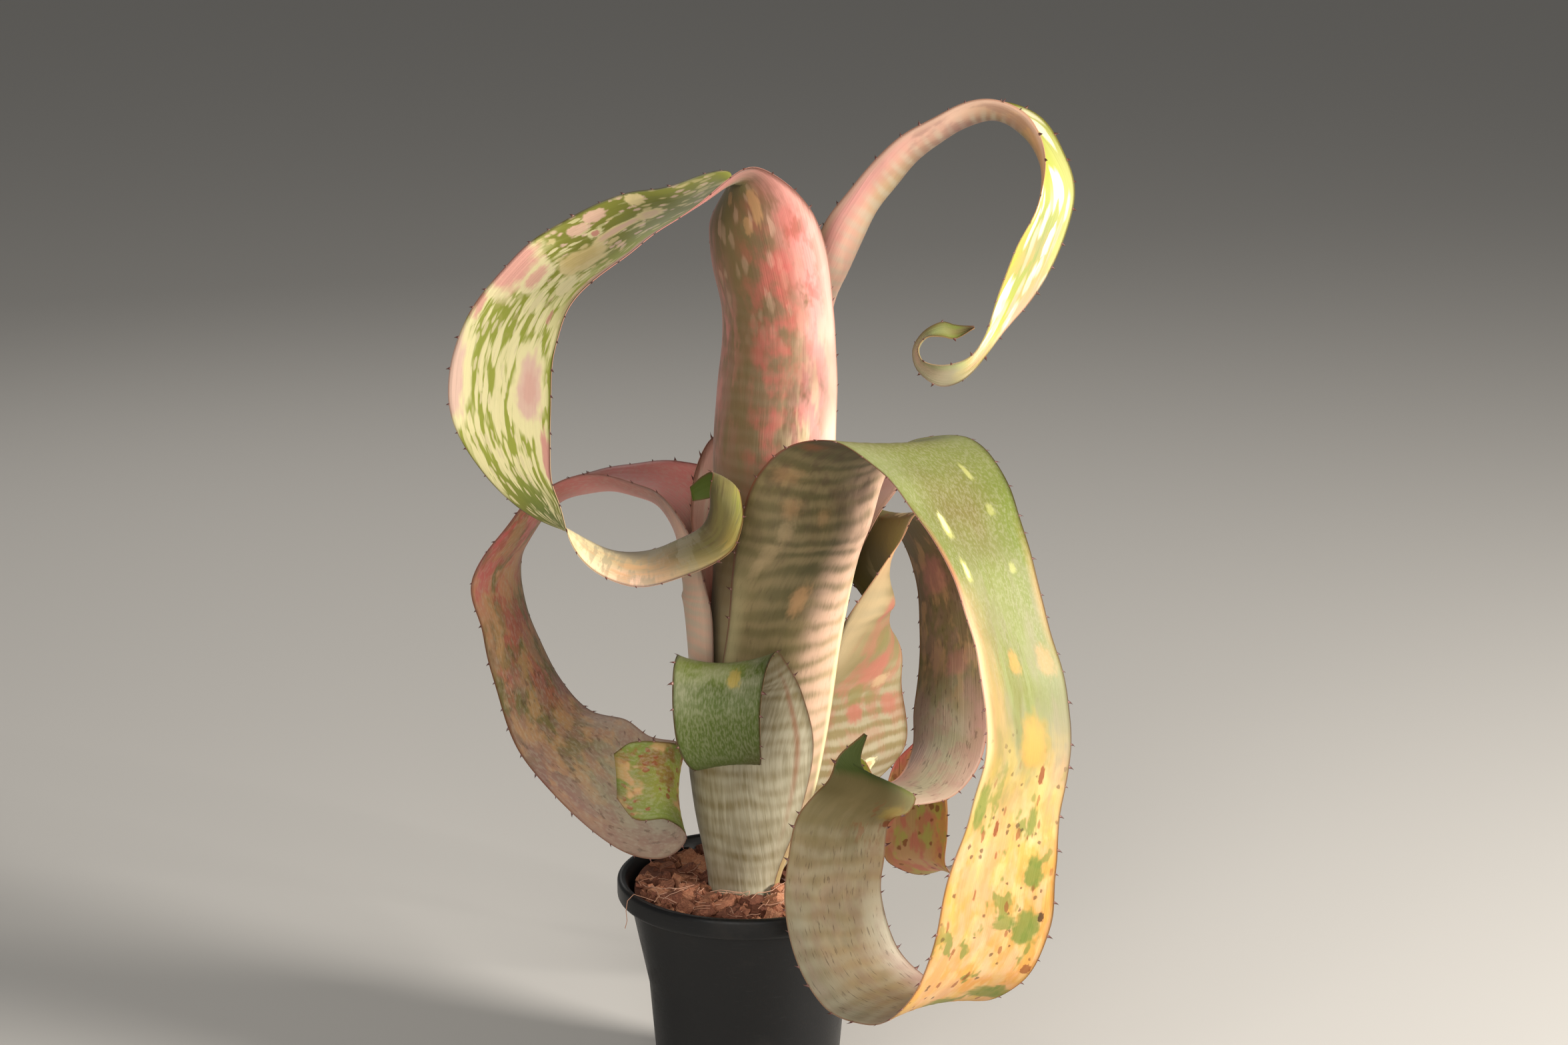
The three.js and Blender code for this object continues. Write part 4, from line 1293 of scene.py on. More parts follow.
# %% Outer side of the front right leaf
plan_paint("leaf_front_right", "outer", washes=[
    (0, "grey_tan", "olive_brown", "olive_gold"),
    (1.5, "grey_tan", "olive_brown", "tan"),
    (3, "sand", "olive_brown", "sand"),
    # Painted shade: from here to the crest the left and middle are dark olive and umber; the blush on the
    # right is painted light.
    (3.9, "olive_brown", "brown_olive", "tan"),
    (4.4, "olive_brown", "dark_olive", "tan"),
    (5, "brown_olive", "dark_olive", "blush"),
    (5.7, "brown_olive", "dark_olive", "tan"),
    (6.4, "dark_olive", "dark_olive", "grey_tan"),
    (7.2, "umber", "dark_olive", "olive_brown"),
    (9, "pink", "olive", "olive"),
    (12, "ivory", "tan", "olive"),
    (16, "blush", "grey_pink", "tan"),
    (18.5, "grey_tan", "tan", "mauve"),
    (20.5, "grey_tan", "tan", "silver"),
    (21.6, "sand", "sand", "tan"),
    (22.8, "olive_brown", "olive_brown", "sand"),
    (24.2, "brown_olive", "olive_brown", "olive_brown"),
    (25.6, "brown_olive", "brown_olive", "olive"),
    (26.5, "dark_green", "dark_green", "green"),
    (29, "dark_green"),
], marks=[
    ("blotches", "brown_olive", 16, 7, 0.5, 0.12, 0.3, 2.5, 6.6, 0, 0.7),
    ("bands", "tan", 7.4, 18, 0.45, 0.7, 0.3, 0, 6.4, 0, 0.75),
    # Painted light: these blush bands and the blush strip below spread the leaf's own pale bands over the
    # right third, as its lit side.
    ("bands", "blush", 7.4, 20, 0.7, 0.8, 0.62, 2, 6, 0.56, 1),
    ("bands", "blush", 7.4, 14, 0.55, 0.6, 0.7, 3.2, 5.8, 0.68, 1),
    ("strip", "cream", 0.03, 0.8, 1.5, 5.8, 0.94, 1.2),
    ("strip", "blush", 0.08, 0.5, 4.6, 5.8, 0.8, 0.93),
    ("strip", "cream", 0.06, 0.35, 2.4, 4.2, -0.1, 0.1),
    ("strip", "maroon", 0.012, 0.8, 3.8, 8, -0.1, 0.012),
    ("blotches", "umber", 4, 0.7, 0.12, 0.08, 0.25, 3, 6.8),
    ("blotches", "umber", 9, 6, 0.36, 0.1, 0.5, 5.2, 7),
    ("blotches", "olive_brown", 16, 8, 0.5, 0.1, 0.5, 19, 24, 0, 0.8),
    ("bands", "silver", 8, 20, 0.5, 0.75, 0.28, 17, 23),
    ("blotches", "mauve", 12, 5, 0.4, 0.1, 0.25, 17.5, 22),
    ("blotches", "umber", 5, 0.6, 0.12, 0.05, 0.5, 17.5, 23),
    ("blotches", "rust", 5, 2, 0.3, 0.05, 0.5, 22.5, 25, 0.55, 1),
    ("blotches", "brown_olive", 9, 4, 0.5, 0.1, 0.4, 22, 26, 0, 0.8),
], patches=[
    ("orange_tan", 8, 11, 0.4, 0.35, 5.85, 0.14),
    ("orange_tan", 7, 7, 0.4, 0.35, 5.43, 0.23),
    ("tan", 8, 6, 0.3, 0.45, 5.15, 0.23),
    ("tan", 10, 7, 0.3, 0.45, 4.84, 0.18),
    ("orange_tan", 10, 7, 0.3, 0.6, 4.33, 0.45),
    ("tan", 8, 5, 0.3, 0.4, 4.67, 0.14),
    ("orange_tan", 6, 5, 0.4, 0.25, 5.34, 0.41),
    ("rust", 5, 9, 0.4, 0.5, 6.55, 0.1),
    ("rust", 5, 5, 0.12, 0.9, 24, 0.95),
    ("rust", 4, 3, 0.12, 0.9, 23.3, 0.97),
    ("olive_gold", 10, 8, 0.3, 0.8, 24.3, 0.9),
])

# %% Inner side of the front right leaf
plan_paint("leaf_front_right", "inner", washes=[
    (0, "green"),
    (6.4, "olive", "olive", "sage"),
    (7.6, "sage", "moss", "moss"),
    (8.8, "moss", "olive", "green"),
    (9.6, "moss", "moss", "green"),
    (10.4, "tan", "moss", "moss"),
    (11.2, "orange_tan", "moss", "grey_green"),
    (12, "orange_tan", "grey_green", "grey_tan"),
    (12.8, "olive_gold", "olive_gold", "orange_tan"),
    (13.6, "amber"),
    (16.6, "amber"),
    (18, "olive_gold", "amber", "olive_gold"),
    (22, "olive_gold", "gold", "lime"),
    (24, "dark_green", "green", "dark_green"),
    (29, "umber", "dark_green", "umber"),
], marks=[
    ("blotches", "silver", 1.2, 0.6, 0.4, 0.12, 0.22, 6.5, 11),
    ("blotches", "grey_tan", 22, 5, 0.45, 0.1, 0.5, 9.6, 12.6, 0.2, 1),
    ("blotches", "sage", 18, 1.6, 0.45, 0.1, 0.5, 9.8, 12.6, 0.25, 0.75),
    ("blotches", "olive", 16, 4, 0.4, 0.1, 0.4, 10.4, 12.6, 0.05, 0.6),
    ("blotches", "gold", 16, 7, 0.4, 0.08, 0.6, 12.2, 14, 0.1, 1),
    ("blotches", "gold", 12, 5, 0.42, 0.1, 0.55, 12.6, 18),
    ("blotches", "buff", 9, 4, 0.36, 0.1, 0.4, 12.6, 17),
    ("blotches", "blush", 12, 5, 0.4, 0.12, 0.4, 12.8, 17.8),
    ("blotches", "orange_tan", 18, 5, 0.5, 0.1, 0.6, 12.8, 18, 0, 0.6),
    ("blotches", "green", 14, 7, 0.18, 0.03, 0.8, 12.4, 17.4),
    ("spots", "rust", 6, 2, 0.06, 0.1, 0.7, 12.4, 18.2),
    ("spots", "umber", 2.4, 2, 0.05, 0.14, 0.7, 12, 18.2),
    ("strip", "buff", 0.05, 0.6, 10, 12.8, -0.1, 0.08),
    ("strip", "coral", 0.03, 0.7, 9.3, 10.2, -0.1, 0.05),
    ("strip", "pink", 0.03, 0.6, 10.6, 11.8, -0.1, 0.06),
    ("strip", "moss", 0.05, 0.5, 10.2, 12.6, 0.14, 0.2),
    ("strip", "orange_tan", 0.05, 0.7, 9.6, 10.6, 0.94, 1.2),
], patches=[
    ("pale_lime", 9, 2.2, 0.25, 0.7, 8.04, 0.73),
    ("pale_lime", 11, 4, 0.2, 0.8, 8.95, 0.27),
    ("cream", 9, 2.4, 0.1, 0.8, 8.9, 0.27),
    ("pale_lime", 9, 3.4, 0.2, 0.8, 9.63, 0.23),
    ("cream", 6, 2, 0.1, 0.8, 9.63, 0.23),
    ("pale_lime", 5, 3, 0.25, 0.5, 8.8, 0.77),
    ("pale_lime", 4, 3, 0.25, 0.5, 9.7, 0.77),
    ("olive_gold", 20, 15, 0.15, 0.7, 11.95, 0.62),
    ("amber", 15, 10, 0.3, 0.85, 12, 0.6),
    ("amber", 8, 5, 0.3, 0.6, 10.9, 0.5),
    ("orange_tan", 10, 7, 0.3, 0.55, 10.9, 0.85),
    ("green", 17, 6, 0.2, 0.85, 12.9, 0.12),
    ("green", 11, 4, 0.2, 0.85, 13.15, 0.73),
    ("green", 12, 7, 0.16, 0.9, 13.95, 0.8),
    ("green", 14, 11, 0.14, 0.9, 15, 0.8),
    ("green", 6, 10, 0.2, 0.8, 14.9, 0.6),
    ("green", 8, 18, 0.2, 0.85, 16.6, 0.85),
    ("green", 8, 14, 0.2, 0.85, 17.1, 0.5),
    ("rust", 7, 2.4, 0.1, 0.9, 12.45, 0.73),
    ("rust", 4, 4, 0.1, 0.8, 15.8, 0.94),
    ("umber", 4, 2.4, 0.12, 0.9, 14.8, 0.9),
    ("rust", 6, 2, 0.1, 0.9, 13.25, 0.36),
])

# %% [markdown]
# ### The left back leaf
#
# Fine pale hairs and scurf make this one pink-grey. Its arch is rose-mauve, the outer curve has pink
# and green blotches, and the lower sweep is dusty grey-pink. Its rolled end shows the inner side,
# green with orange-brown patches and small rusty spots.

# %% Outer side of the left back leaf
plan_paint("leaf_left_back", "outer", washes=[
    (0, "grey_tan", "grey_tan", "grey_pink"),
    (3, "grey_tan", "grey_tan", "blush"),
    (5, "grey_pink", "grey_pink", "blush"),
    (7.5, "grey_pink", "pink", "mauve"),
    (10, "mauve", "pink", "rose"),
    (11.8, "mauve", "rose", "coral"),
    (12.8, "olive_brown", "orange_tan", "rose"),
    (14, "olive_brown", "olive_brown", "orange_tan"),
    (15.2, "mauve", "olive", "olive_brown"),
    (16.5, "grey_pink", "olive_brown", "mauve"),
    (19, "grey_pink", "silver", "grey_pink"),
    (23, "grey_pink", "mauve", "mauve"),
], marks=[
    ("bands", "silver", 6, 20, 0.45, 0.7, 0.6, 0, 6),
    ("blotches", "olive", 14, 5, 0.45, 0.05, 0.8, 11, 16),
    ("blotches", "coral", 14, 6, 0.42, 0.07, 0.6, 11, 15.6, 0.1, 1),
    ("blotches", "orange_tan", 12, 5, 0.45, 0.07, 0.6, 11.4, 17.4),
    ("blotches", "mauve", 9, 4, 0.42, 0.08, 0.5, 14, 21),
    ("blotches", "silver", 2.4, 0.8, 0.35, 0.1, 0.25, 6, 22),
    ("blotches", "umber", 4, 1.2, 0.14, 0.06, 0.45, 14, 21),
])

# %% Inner side of the left back leaf
plan_paint("leaf_left_back", "inner", washes=[
    (0, "green"),
    (5.6, "olive", "grey_pink", "grey_pink"),
    (7.5, "rose", "pink", "grey_pink"),
    (9.6, "rose", "pink", "rose"),
    (12, "olive", "green", "mauve"),
    (18, "green"),
    (20, "green", "lime", "green"),
    (21.6, "green", "olive_green", "green"),
    (23, "green", "green", "olive_brown"),
], marks=[
    ("blotches", "orange_tan", 15, 9, 0.3, 0.04, 0.85, 19, 23),
    ("blotches", "rust", 8, 6, 0.32, 0.05, 0.6, 19, 23),
    ("spots", "rust", 3.5, 2.5, 0.2, 0.1, 0.85, 19, 23),
    ("spots", "buff", 12, 5, 0.3, 0.12, 0.6, 11, 18),
    ("blotches", "silver", 1.4, 0.7, 0.4, 0.1, 0.2, 6, 23),
])

# %% [markdown]
# ### The front lower leaf
#
# The short leaf in front has the plainest sheath: olive-brown and grey-tan with soft silver bands and
# one rusty line near its right margin. The roll shows its inner side, green that turns dark green
# under fine silver scurf.

# %% Outer side of the front lower leaf
plan_paint("leaf_front_lower", "outer", washes=[
    (0, "grey_tan", "olive_brown", "grey_tan"),
    (3, "grey_tan", "olive_brown", "grey_tan"),
    (4, "olive_brown", "brown_olive", "olive_brown"),
    (5, "brown_olive", "brown_olive", "olive_brown"),
    (6, "olive", "olive_brown", "olive"),
    (12, "olive"),
], marks=[
    ("blotches", "olive_brown", 18, 8, 0.5, 0.12, 0.4, 0, 6),
    ("bands", "silver", 7.2, 16, 0.5, 0.7, 0.42, 0, 6),
    ("bands", "silver", 12, 12, 0.5, 0.7, 0.3, 0, 5),
    ("blotches", "silver", 16, 1.2, 0.5, 0.1, 0.28, 0, 5),
    ("blotches", "brown_olive", 12, 1, 0.4, 0.1, 0.3, 0, 5),
    ("strip", "rust", 0.012, 0.55, 2.2, 4.6, 0.9, 0.925),
])

# %% Inner side of the front lower leaf
plan_paint("leaf_front_lower", "inner", washes=[
    (0, "green"),
    (5.5, "sage", "green", "sage"),
    (6.6, "green", "green", "dark_green"),
    (7.4, "dark_green"),
    (8.8, "dark_green"),
    (12, "dark_green", "dark_green", "umber"),
], marks=[
    ("blotches", "silver", 2, 0.6, 0.45, 0.12, 0.14, 5, 10),
    ("blotches", "silver", 9, 7, 0.5, 0.14, 0.25, 5, 7.8),
], patches=[
    ("olive_gold", 9, 5, 0.2, 0.8, 7.1, 0.66),
])

# %% [markdown]
# ### The right back leaf
#
# Its spreading sheath is olive-brown under silver and tan bands, with darkened rose and olive patches
# and a round cream spot. The darkened rose is painted shade, for the shade that the sheath stands in
# behind the front right leaf. Where it comes down behind, its outer side is brown-mauve above and
# grey-pink below.

# %% Outer side of the right back leaf
plan_paint("leaf_right_back", "outer", washes=[
    (0, "grey_tan"),
    (2, "sand", "olive_brown", "olive_brown"),
    (6.5, "sand", "olive_brown", "olive_brown"),
    (8, "orange_tan", "olive", "olive_brown"),
    (10, "olive_brown", "brown_olive", "brown_olive"),
    (11.6, "brown"),
    (13, "brown_olive", "olive_brown", "brown_olive"),
    (14.4, "mauve", "grey_tan", "grey_pink"),
    (16, "grey_pink", "grey_tan", "mauve"),
    (19, "grey_pink", "grey_tan", "grey_pink"),
], marks=[
    ("bands", "silver", 6, 20, 0.55, 0.5, 0.4, 0, 4),
    ("bands", "tan", 7, 20, 0.5, 0.6, 0.5, 5.6, 7.4),
    # Painted shade: the darkened rose of these blotches and of the patches below stands for the shade behind
    # the front right leaf.
    ("blotches", "shaded_rose", 10, 7, 0.45, 0.08, 0.5, 3.2, 6, 0.3, 1),
    ("blotches", "olive", 14, 7, 0.45, 0.07, 0.5, 10.6, 14.6),
    ("blotches", "brown", 12, 6, 0.45, 0.07, 0.6, 10, 14),
    ("blotches", "orange_tan", 12, 5, 0.36, 0.07, 0.5, 10, 13.6),
    ("blotches", "umber", 5, 0.8, 0.14, 0.05, 0.5, 11, 19),
    ("blotches", "mauve", 10, 5, 0.4, 0.07, 0.4, 12, 19),
], patches=[
    ("shaded_rose", 12, 9, 0.25, 0.8, 6, 0.4),
    ("olive", 8, 12, 0.2, 0.7, 5.2, 0.6),
    ("shaded_rose", 15, 16, 0.25, 0.8, 4.5, 0.68),
    ("tan", 5, 8, 0.25, 0.6, 4.2, 0.8),
    ("olive", 10, 8, 0.2, 0.7, 4, 0.62),
    ("olive", 6, 6, 0.25, 0.6, 3.9, 0.74),
    ("shaded_rose", 8, 8, 0.25, 0.8, 3.7, 0.62),
    ("shaded_rose", 9, 8, 0.25, 0.75, 3.75, 0.88),
    ("cream", 7, 7, 0.06, 0.9, 2.85, 0.74),
    ("orange_tan", 4, 4, 0.15, 0.7, 2.85, 0.74),
    ("rose", 16, 14, 0.25, 0.5, 11.5, 0.6),
    ("rose", 10, 10, 0.25, 0.35, 13.2, 0.4),
])

# %% Inner side of the right back leaf
plan_paint("leaf_right_back", "inner", washes=[
    (0, "olive"),
    (5, "olive"),
    (7.6, "olive", "olive_brown", "brown_olive"),
    (10, "olive_brown", "olive", "green"),
    (14, "lime", "olive_gold", "lime"),
    (19, "gold", "lime", "gold"),
], marks=[
    ("strip", "blush", 0.02, 0.9, 4, 9, -0.1, 0.03),
    ("spots", "cream", 14, 5, 0.4, 0.09, 0.8, 9, 17),
    ("spots", "buff", 12, 6, 0.25, 0.12, 0.5, 2, 7, 0, 0.7),
    ("blotches", "amber", 14, 8, 0.4, 0.05, 0.6, 11, 19),
    ("spots", "rust", 5, 1.8, 0.16, 0.1, 0.8, 9, 19),
])

# %% [markdown]
# ### The back leaf
#
# Only its pale pink shoulder, its pink right edge and the lower roll, golden amber with lime and coral
# blotches, show from the front. The shell and pink of the shoulder are lighter than the leaf's own pink,
# as painted light where the lamps leave it in shade. From behind it is the widest leaf, so its outer side
# gets the same bands and blotches as its neighbours.

# %% Outer side of the back leaf
plan_paint("leaf_back", "outer", washes=[
    (0, "grey_tan"),
    (3, "grey_pink", "grey_tan", "grey_pink"),
    (6, "grey_pink", "sand", "grey_pink"),
    (9, "rose", "grey_pink", "rose"),
    (12, "grey_pink", "olive_brown", "grey_pink"),
    (16, "grey_pink", "grey_pink", "mauve"),
    (19, "mauve", "grey_pink", "grey_pink"),
    (23, "olive", "olive_brown", "olive"),
], marks=[
    ("bands", "silver", 7, 24, 0.5, 0.6, 0.5, 0, 10),
    ("blotches", "rose", 16, 7, 0.42, 0.07, 0.5, 4, 11),
    ("blotches", "olive", 18, 8, 0.45, 0.07, 0.5, 2, 14, 0.1, 0.9),
    ("spots", "orange_tan", 10, 7, 0.3, 0.1, 0.6, 3, 9),
    ("blotches", "umber", 8, 1, 0.22, 0.05, 0.45, 10, 20),
])

# %% Inner side of the back leaf
plan_paint("leaf_back", "inner", washes=[
    (0, "green"),
    # Painted light: from here to station 8.5 the shoulder is shell and pink, lighter than its own pink.
    (3.5, "pink", "green", "rose"),
    (5, "shell", "pink", "shell"),
    (6.5, "shell", "pink", "shell"),
    (8.5, "pink", "olive", "pink"),
    (10, "green", "green", "mauve"),
    (12, "lime", "green", "lime"),
    (14, "amber", "lime", "coral"),
    (17, "gold", "amber", "rose"),
    (19, "amber", "orange_tan", "orange_tan"),
    (23, "amber", "olive_gold", "coral"),
], marks=[
    ("blotches", "ivory", 24, 5, 0.42, 0.08, 0.4, 4, 8, 0.4, 1),
    ("blotches", "lime", 12, 6, 0.4, 0.05, 0.6, 12, 22),
    ("blotches", "coral", 12, 6, 0.42, 0.06, 0.6, 12, 22),
    ("spots", "rust", 4, 3, 0.2, 0.1, 0.8, 12, 22),
])

# %% [markdown]
# Each painted skin goes on its leaf: the inner side is slot 0 and the outer side slot 1. The skins
# replace the plain solids, which stay in the frame for collision.

# %% Paint goes on
SEED_SHARE = 0.37


for name, leaf in LEAVES.items():
    piece = leaf_pieces[name]
    for side in ("inner", "outer"):
        look = PLANS[name, side]
        material = make_leaf_skin(f"{name}_{side}", look, leaf_grids[name], leaf["seed"] * SEED_SHARE)
        piece.data.materials.append(material)
    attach(piece, BODY)
    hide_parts(name)
print("painted", len(LEAVES), "leaves")

# %% [markdown]
# ## Spines
#
# Small hooked spines stand along both margins about a centimetre apart. They repeat along a path, so
# Geometry Nodes place them: the margin becomes a curve, points are dealt out along it with some
# chance in their spacing, and a bent cone is set on each, leaning toward the tip of the leaf.
#
# The trees here and below share a few helpers. Their chance comes from fixed seeds, to which each
# purpose adds a number of its own, and each tree ends with its material.

# %% Helpers for trees that grow things
GEOMETRY = "NodeSocketGeometry"
GROWING = "GeometryNodeTree"
SEED_INPUT = ("Seed", "NodeSocketInt", 1)
MATERIAL_INPUT = ("Material", "NodeSocketMaterial", None)
RANDOM_SOCKETS = {"FLOAT": (2, 3, 1), "FLOAT_VECTOR": (0, 1, 0)}
SALTS = {"place": 3, "length": 5, "turn": 11, "size": 13, "tint": 17}


def random_value(tree, low, high, seed, purpose, kind="FLOAT"):
    """A random number or vector for each piece. The sockets differ between the two kinds."""
    least, most, output = RANDOM_SOCKETS[kind]
    inputs = {least: low, most: high, "Seed": maths(tree, "ADD", seed, float(SALTS[purpose]))}
    return add_node(tree, "FunctionNodeRandomValue", inputs, data_type=kind).outputs[output]


def keep_number(tree, geometry, name, value, domain):
    inputs = {"Geometry": geometry, "Name": name, "Value": value}
    return first_output(tree, "GeometryNodeStoreNamedAttribute", inputs, data_type="FLOAT", domain=domain)


def realized(tree, instances):
    return first_output(tree, "GeometryNodeRealizeInstances", {0: instances})


def end_tree(tree, geometry, material, socket):
    inputs = {"Geometry": geometry, "Material": material}
    feed(tree, first_output(tree, "GeometryNodeSetMaterial", inputs), socket)


# %% [markdown]
# One spine is a cone with six sides, flattened and bent. How high each of its points lies is kept for
# the finish, which darkens toward the tip.

# %% One hooked spine
SPINE_CONE = {"Vertices": 6, "Side Segments": 4, "Radius Top": 0.0}
SPINE_FLATNESS = 0.45


def hooked_spine(tree, length, base, hook):
    """A flattened cone bent along +X, with its height from 0 to 1 kept as the attribute tip."""
    values = dict(SPINE_CONE, **{"Radius Bottom": base, "Depth": length})
    cone = add_node(tree, "GeometryNodeMeshCone", values, fill_type="NGON").outputs["Mesh"]
    parts = split(tree, first_output(tree, "GeometryNodeInputPosition"))
    height = maths(tree, "DIVIDE", parts["Z"], length, clamp=True)
    reach = maths(tree, "MULTIPLY", hook, length)
    bend = maths(tree, "MULTIPLY", maths(tree, "POWER", height, 2.0), reach)
    across = maths(tree, "MULTIPLY", parts["Y"], SPINE_FLATNESS)
    place = join(tree, maths(tree, "ADD", parts["X"], bend), across, parts["Z"])
    marked = keep_number(tree, cone, "tip", height, "POINT")
    return first_output(tree, "GeometryNodeSetPosition", {"Geometry": marked, "Position": place})


# %% [markdown]
# The margins come in as lines whose points know the way out of the blade. Points are set on the
# curve by length, each spine is turned to stand outward and lean along the curve, and its foot is
# sunk a little so that it grows out of the margin.

# %% A tree for spines along a margin
SPINE_INPUTS = [
    ("Margins", GEOMETRY, None),
    ("Pitch", FLOAT, 0.011),
    ("Length", FLOAT, 0.0026),
    ("Base", FLOAT, 0.0007),
    ("Hook", FLOAT, 0.45),
    SEED_INPUT,
    MATERIAL_INPUT,
]
SPINE_PLACES = (0.2, 0.8)
SPINE_SIZES = (0.6, 1.15)
SPINE_SINK = 0.3 * MM


def sample_curve(tree, curve, reach):
    """Place, direction and outward vector of a curve at a length along it."""
    outward = {"Name": "outward"}
    kept = first_output(tree, "GeometryNodeInputNamedAttribute", outward, data_type="FLOAT_VECTOR")
    sample = add_node(tree, "GeometryNodeSampleCurve", mode="LENGTH", data_type="FLOAT_VECTOR")
    sample.use_all_curves = True
    for name, value in {"Curves": curve, "Value": kept, "Length": reach}.items():
        feed(tree, value, sample.inputs[name])
    return sample.outputs


def make_spine_tree():
    outputs = [("Spines", GEOMETRY)]
    tree, given, result = new_group("margin_spines", SPINE_INPUTS, outputs, GROWING)
    curve = first_output(tree, "GeometryNodeMeshToCurve", {0: given["Margins"]})
    length = first_output(tree, "GeometryNodeCurveLength", {0: curve})
    count = maths(tree, "FLOOR", maths(tree, "DIVIDE", length, given["Pitch"]))
    points = first_output(tree, "GeometryNodePoints", {"Count": count})
    chance = random_value(tree, *SPINE_PLACES, given["Seed"], "place")
    counted = maths(tree, "ADD", first_output(tree, "GeometryNodeInputIndex"), chance)
    sample = sample_curve(tree, curve, maths(tree, "MULTIPLY", counted, given["Pitch"]))
    sunk = scaled(tree, sample["Value"], -SPINE_SINK)
    place = vector_maths(tree, "ADD", sample["Position"], sunk)
    placed = first_output(tree, "GeometryNodeSetPosition", {"Geometry": points, "Position": place})
    axes = {"Primary Axis": sample["Value"], "Secondary Axis": sample["Tangent"]}
    turn = first_output(
        tree, "FunctionNodeAxesToRotation", axes, primary_axis="Z", secondary_axis="X")
    spines = first_output(tree, "GeometryNodeInstanceOnPoints", {
        "Points": placed,
        "Instance": hooked_spine(tree, given["Length"], given["Base"], given["Hook"]),
        "Rotation": turn,
        "Scale": random_value(tree, *SPINE_SIZES, given["Seed"], "length"),
    })
    rounded = first_output(tree, "GeometryNodeSetShadeSmooth", {0: realized(tree, spines)})
    end_tree(tree, rounded, given["Material"], result["Spines"])
    return tree


SPINE_TREE = make_spine_tree()

# %% [markdown]
# A modifier's inputs are set by the identifiers of their sockets. Its result is then turned into a
# plain mesh, and the carrier that held the modifier is removed.

# %% Grown pieces become plain meshes
SPINES_STOP = 2
BESIDE = 2


def baked_mesh(piece):
    """What the modifiers of a piece make of it, as a new plain mesh."""
    piece.update_tag()
    bpy.context.view_layer.update()
    evaluated = piece.evaluated_get(bpy.context.evaluated_depsgraph_get())
    return bpy.data.meshes.new_from_object(evaluated)


def grow(name, carrier_mesh, tree, values):
    """Runs a Geometry Nodes tree on a carrier mesh and returns the result as a new object."""
    carrier = mesh_object(name + "_carrier", carrier_mesh)
    modifier = carrier.modifiers.new("grow", "NODES")
    modifier.node_group = tree
    for item in tree.interface.items_tree:
        if item.item_type == "SOCKET" and item.in_out == "INPUT" and item.name in values:
            modifier[item.identifier] = values[item.name]
    mesh = baked_mesh(carrier)
    mesh.name = name
    bpy.data.objects.remove(carrier)
    return mesh_object(name, mesh)


def lines_mesh(name, lines):
    """A mesh of open lines, each a row of points in metres."""
    places, edges = [], []
    for line in lines:
        edges.extend((len(places) + k, len(places) + k + 1) for k in range(len(line) - 1))
        places.extend(line)
    return new_mesh(name, places, edges, [])


def margin_mesh(name, grid):
    """Both margins of a leaf as lines, each point with its way out of the blade."""
    points = grid["points"][grid["first_spine"]:-SPINES_STOP]
    lines = [points[:, 0], points[:, -1]]
    outs = [unit(lines[0] - points[:, BESIDE]), unit(lines[1] - points[:, -1 - BESIDE])]
    mesh = lines_mesh(name, [line.tolist() for line in lines])
    attribute = mesh.attributes.new("outward", "FLOAT_VECTOR", "POINT")
    attribute.data.foreach_set("vector", np.concatenate(outs).astype(np.float32).ravel())
    return mesh


# %% [markdown]
# A spine is mauve at its foot and dries to a dark red-brown point.

# %% Spine finish and spines
SPINE_NOISE_SCALE = 900.0
SPINE_NOISE_SWING = 0.4
SPINE_COLOURS = [(0.0, "mauve"), (0.35, "maroon"), (1.0, "umber")]


def object_place(tree):
    return add_node(tree, "ShaderNodeTexCoord").outputs["Object"]


def make_spine_material():
    material, tree, shader = new_material("spine_horn", Roughness=0.38, Specular_IOR_Level=0.5)
    uneven = cloud(tree, object_place(tree), SPINE_NOISE_SCALE)
    tip = maths(tree, "SUBTRACT", stored_number(tree, "tip"), SPINE_NOISE_SWING / 2)
    height = maths(tree, "MULTIPLY_ADD", uneven, SPINE_NOISE_SWING, tip)
    stops = [(position, colour(name)) for position, name in SPINE_COLOURS]
    feed(tree, colour_ramp(tree, height, stops), shader.inputs["Base Color"])
    return material


SPINE_MATERIAL = make_spine_material()
for name, leaf in LEAVES.items():
    values = {"Length": leaf["spine"] * MM, "Seed": leaf["seed"], "Material": SPINE_MATERIAL}
    margins = margin_mesh(name + "_margins", leaf_grids[name])
    spines = grow(name + "_spines", margins, SPINE_TREE, values)
    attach(spines, BODY)
    print(name, "spine faces", len(spines.data.polygons))

# %% [markdown]
# ## Pot
#
# A thin black nursery pot, turned round an axis: a stepped foot, a wall that opens upward and a
# broad rolled rim. It is spun from its profile with many more steps than the solid, so that its rim
# stays round in close views. Its height and rim come from the solid's box.

# %% Pot profile
POT_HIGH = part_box("pot")[1]
RIM_RADIUS = POT_HIGH.x / MM
POT_HEIGHT = POT_HIGH.z / MM
RIM_BAND = 9
RIM_EDGE = 2.2
RIM_EDGE_RISE = 2.4
RIM_ROLL = 1.8
NECK_RADIUS = 47.5
BELLY_RADIUS = 40
BELLY_HEIGHT = 50
FOOT_RADIUS = 36
FOOT_EDGE = 1.6
FOOT_RING = 5
BASE_LIFT = 0.6
WALL = 1.4
BASE_THICKNESS = 2
print("pot", round(2 * RIM_RADIUS, 1), "mm across its rim,", round(POT_HEIGHT, 1), "mm tall")


def arc(centre, radius, start, end, steps):
    """Profile points on a round corner, angles in degrees."""
    angles = np.radians(np.linspace(start, end, steps + 1))
    return [(centre[0] + radius * math.cos(a), centre[1] + radius * math.sin(a)) for a in angles]


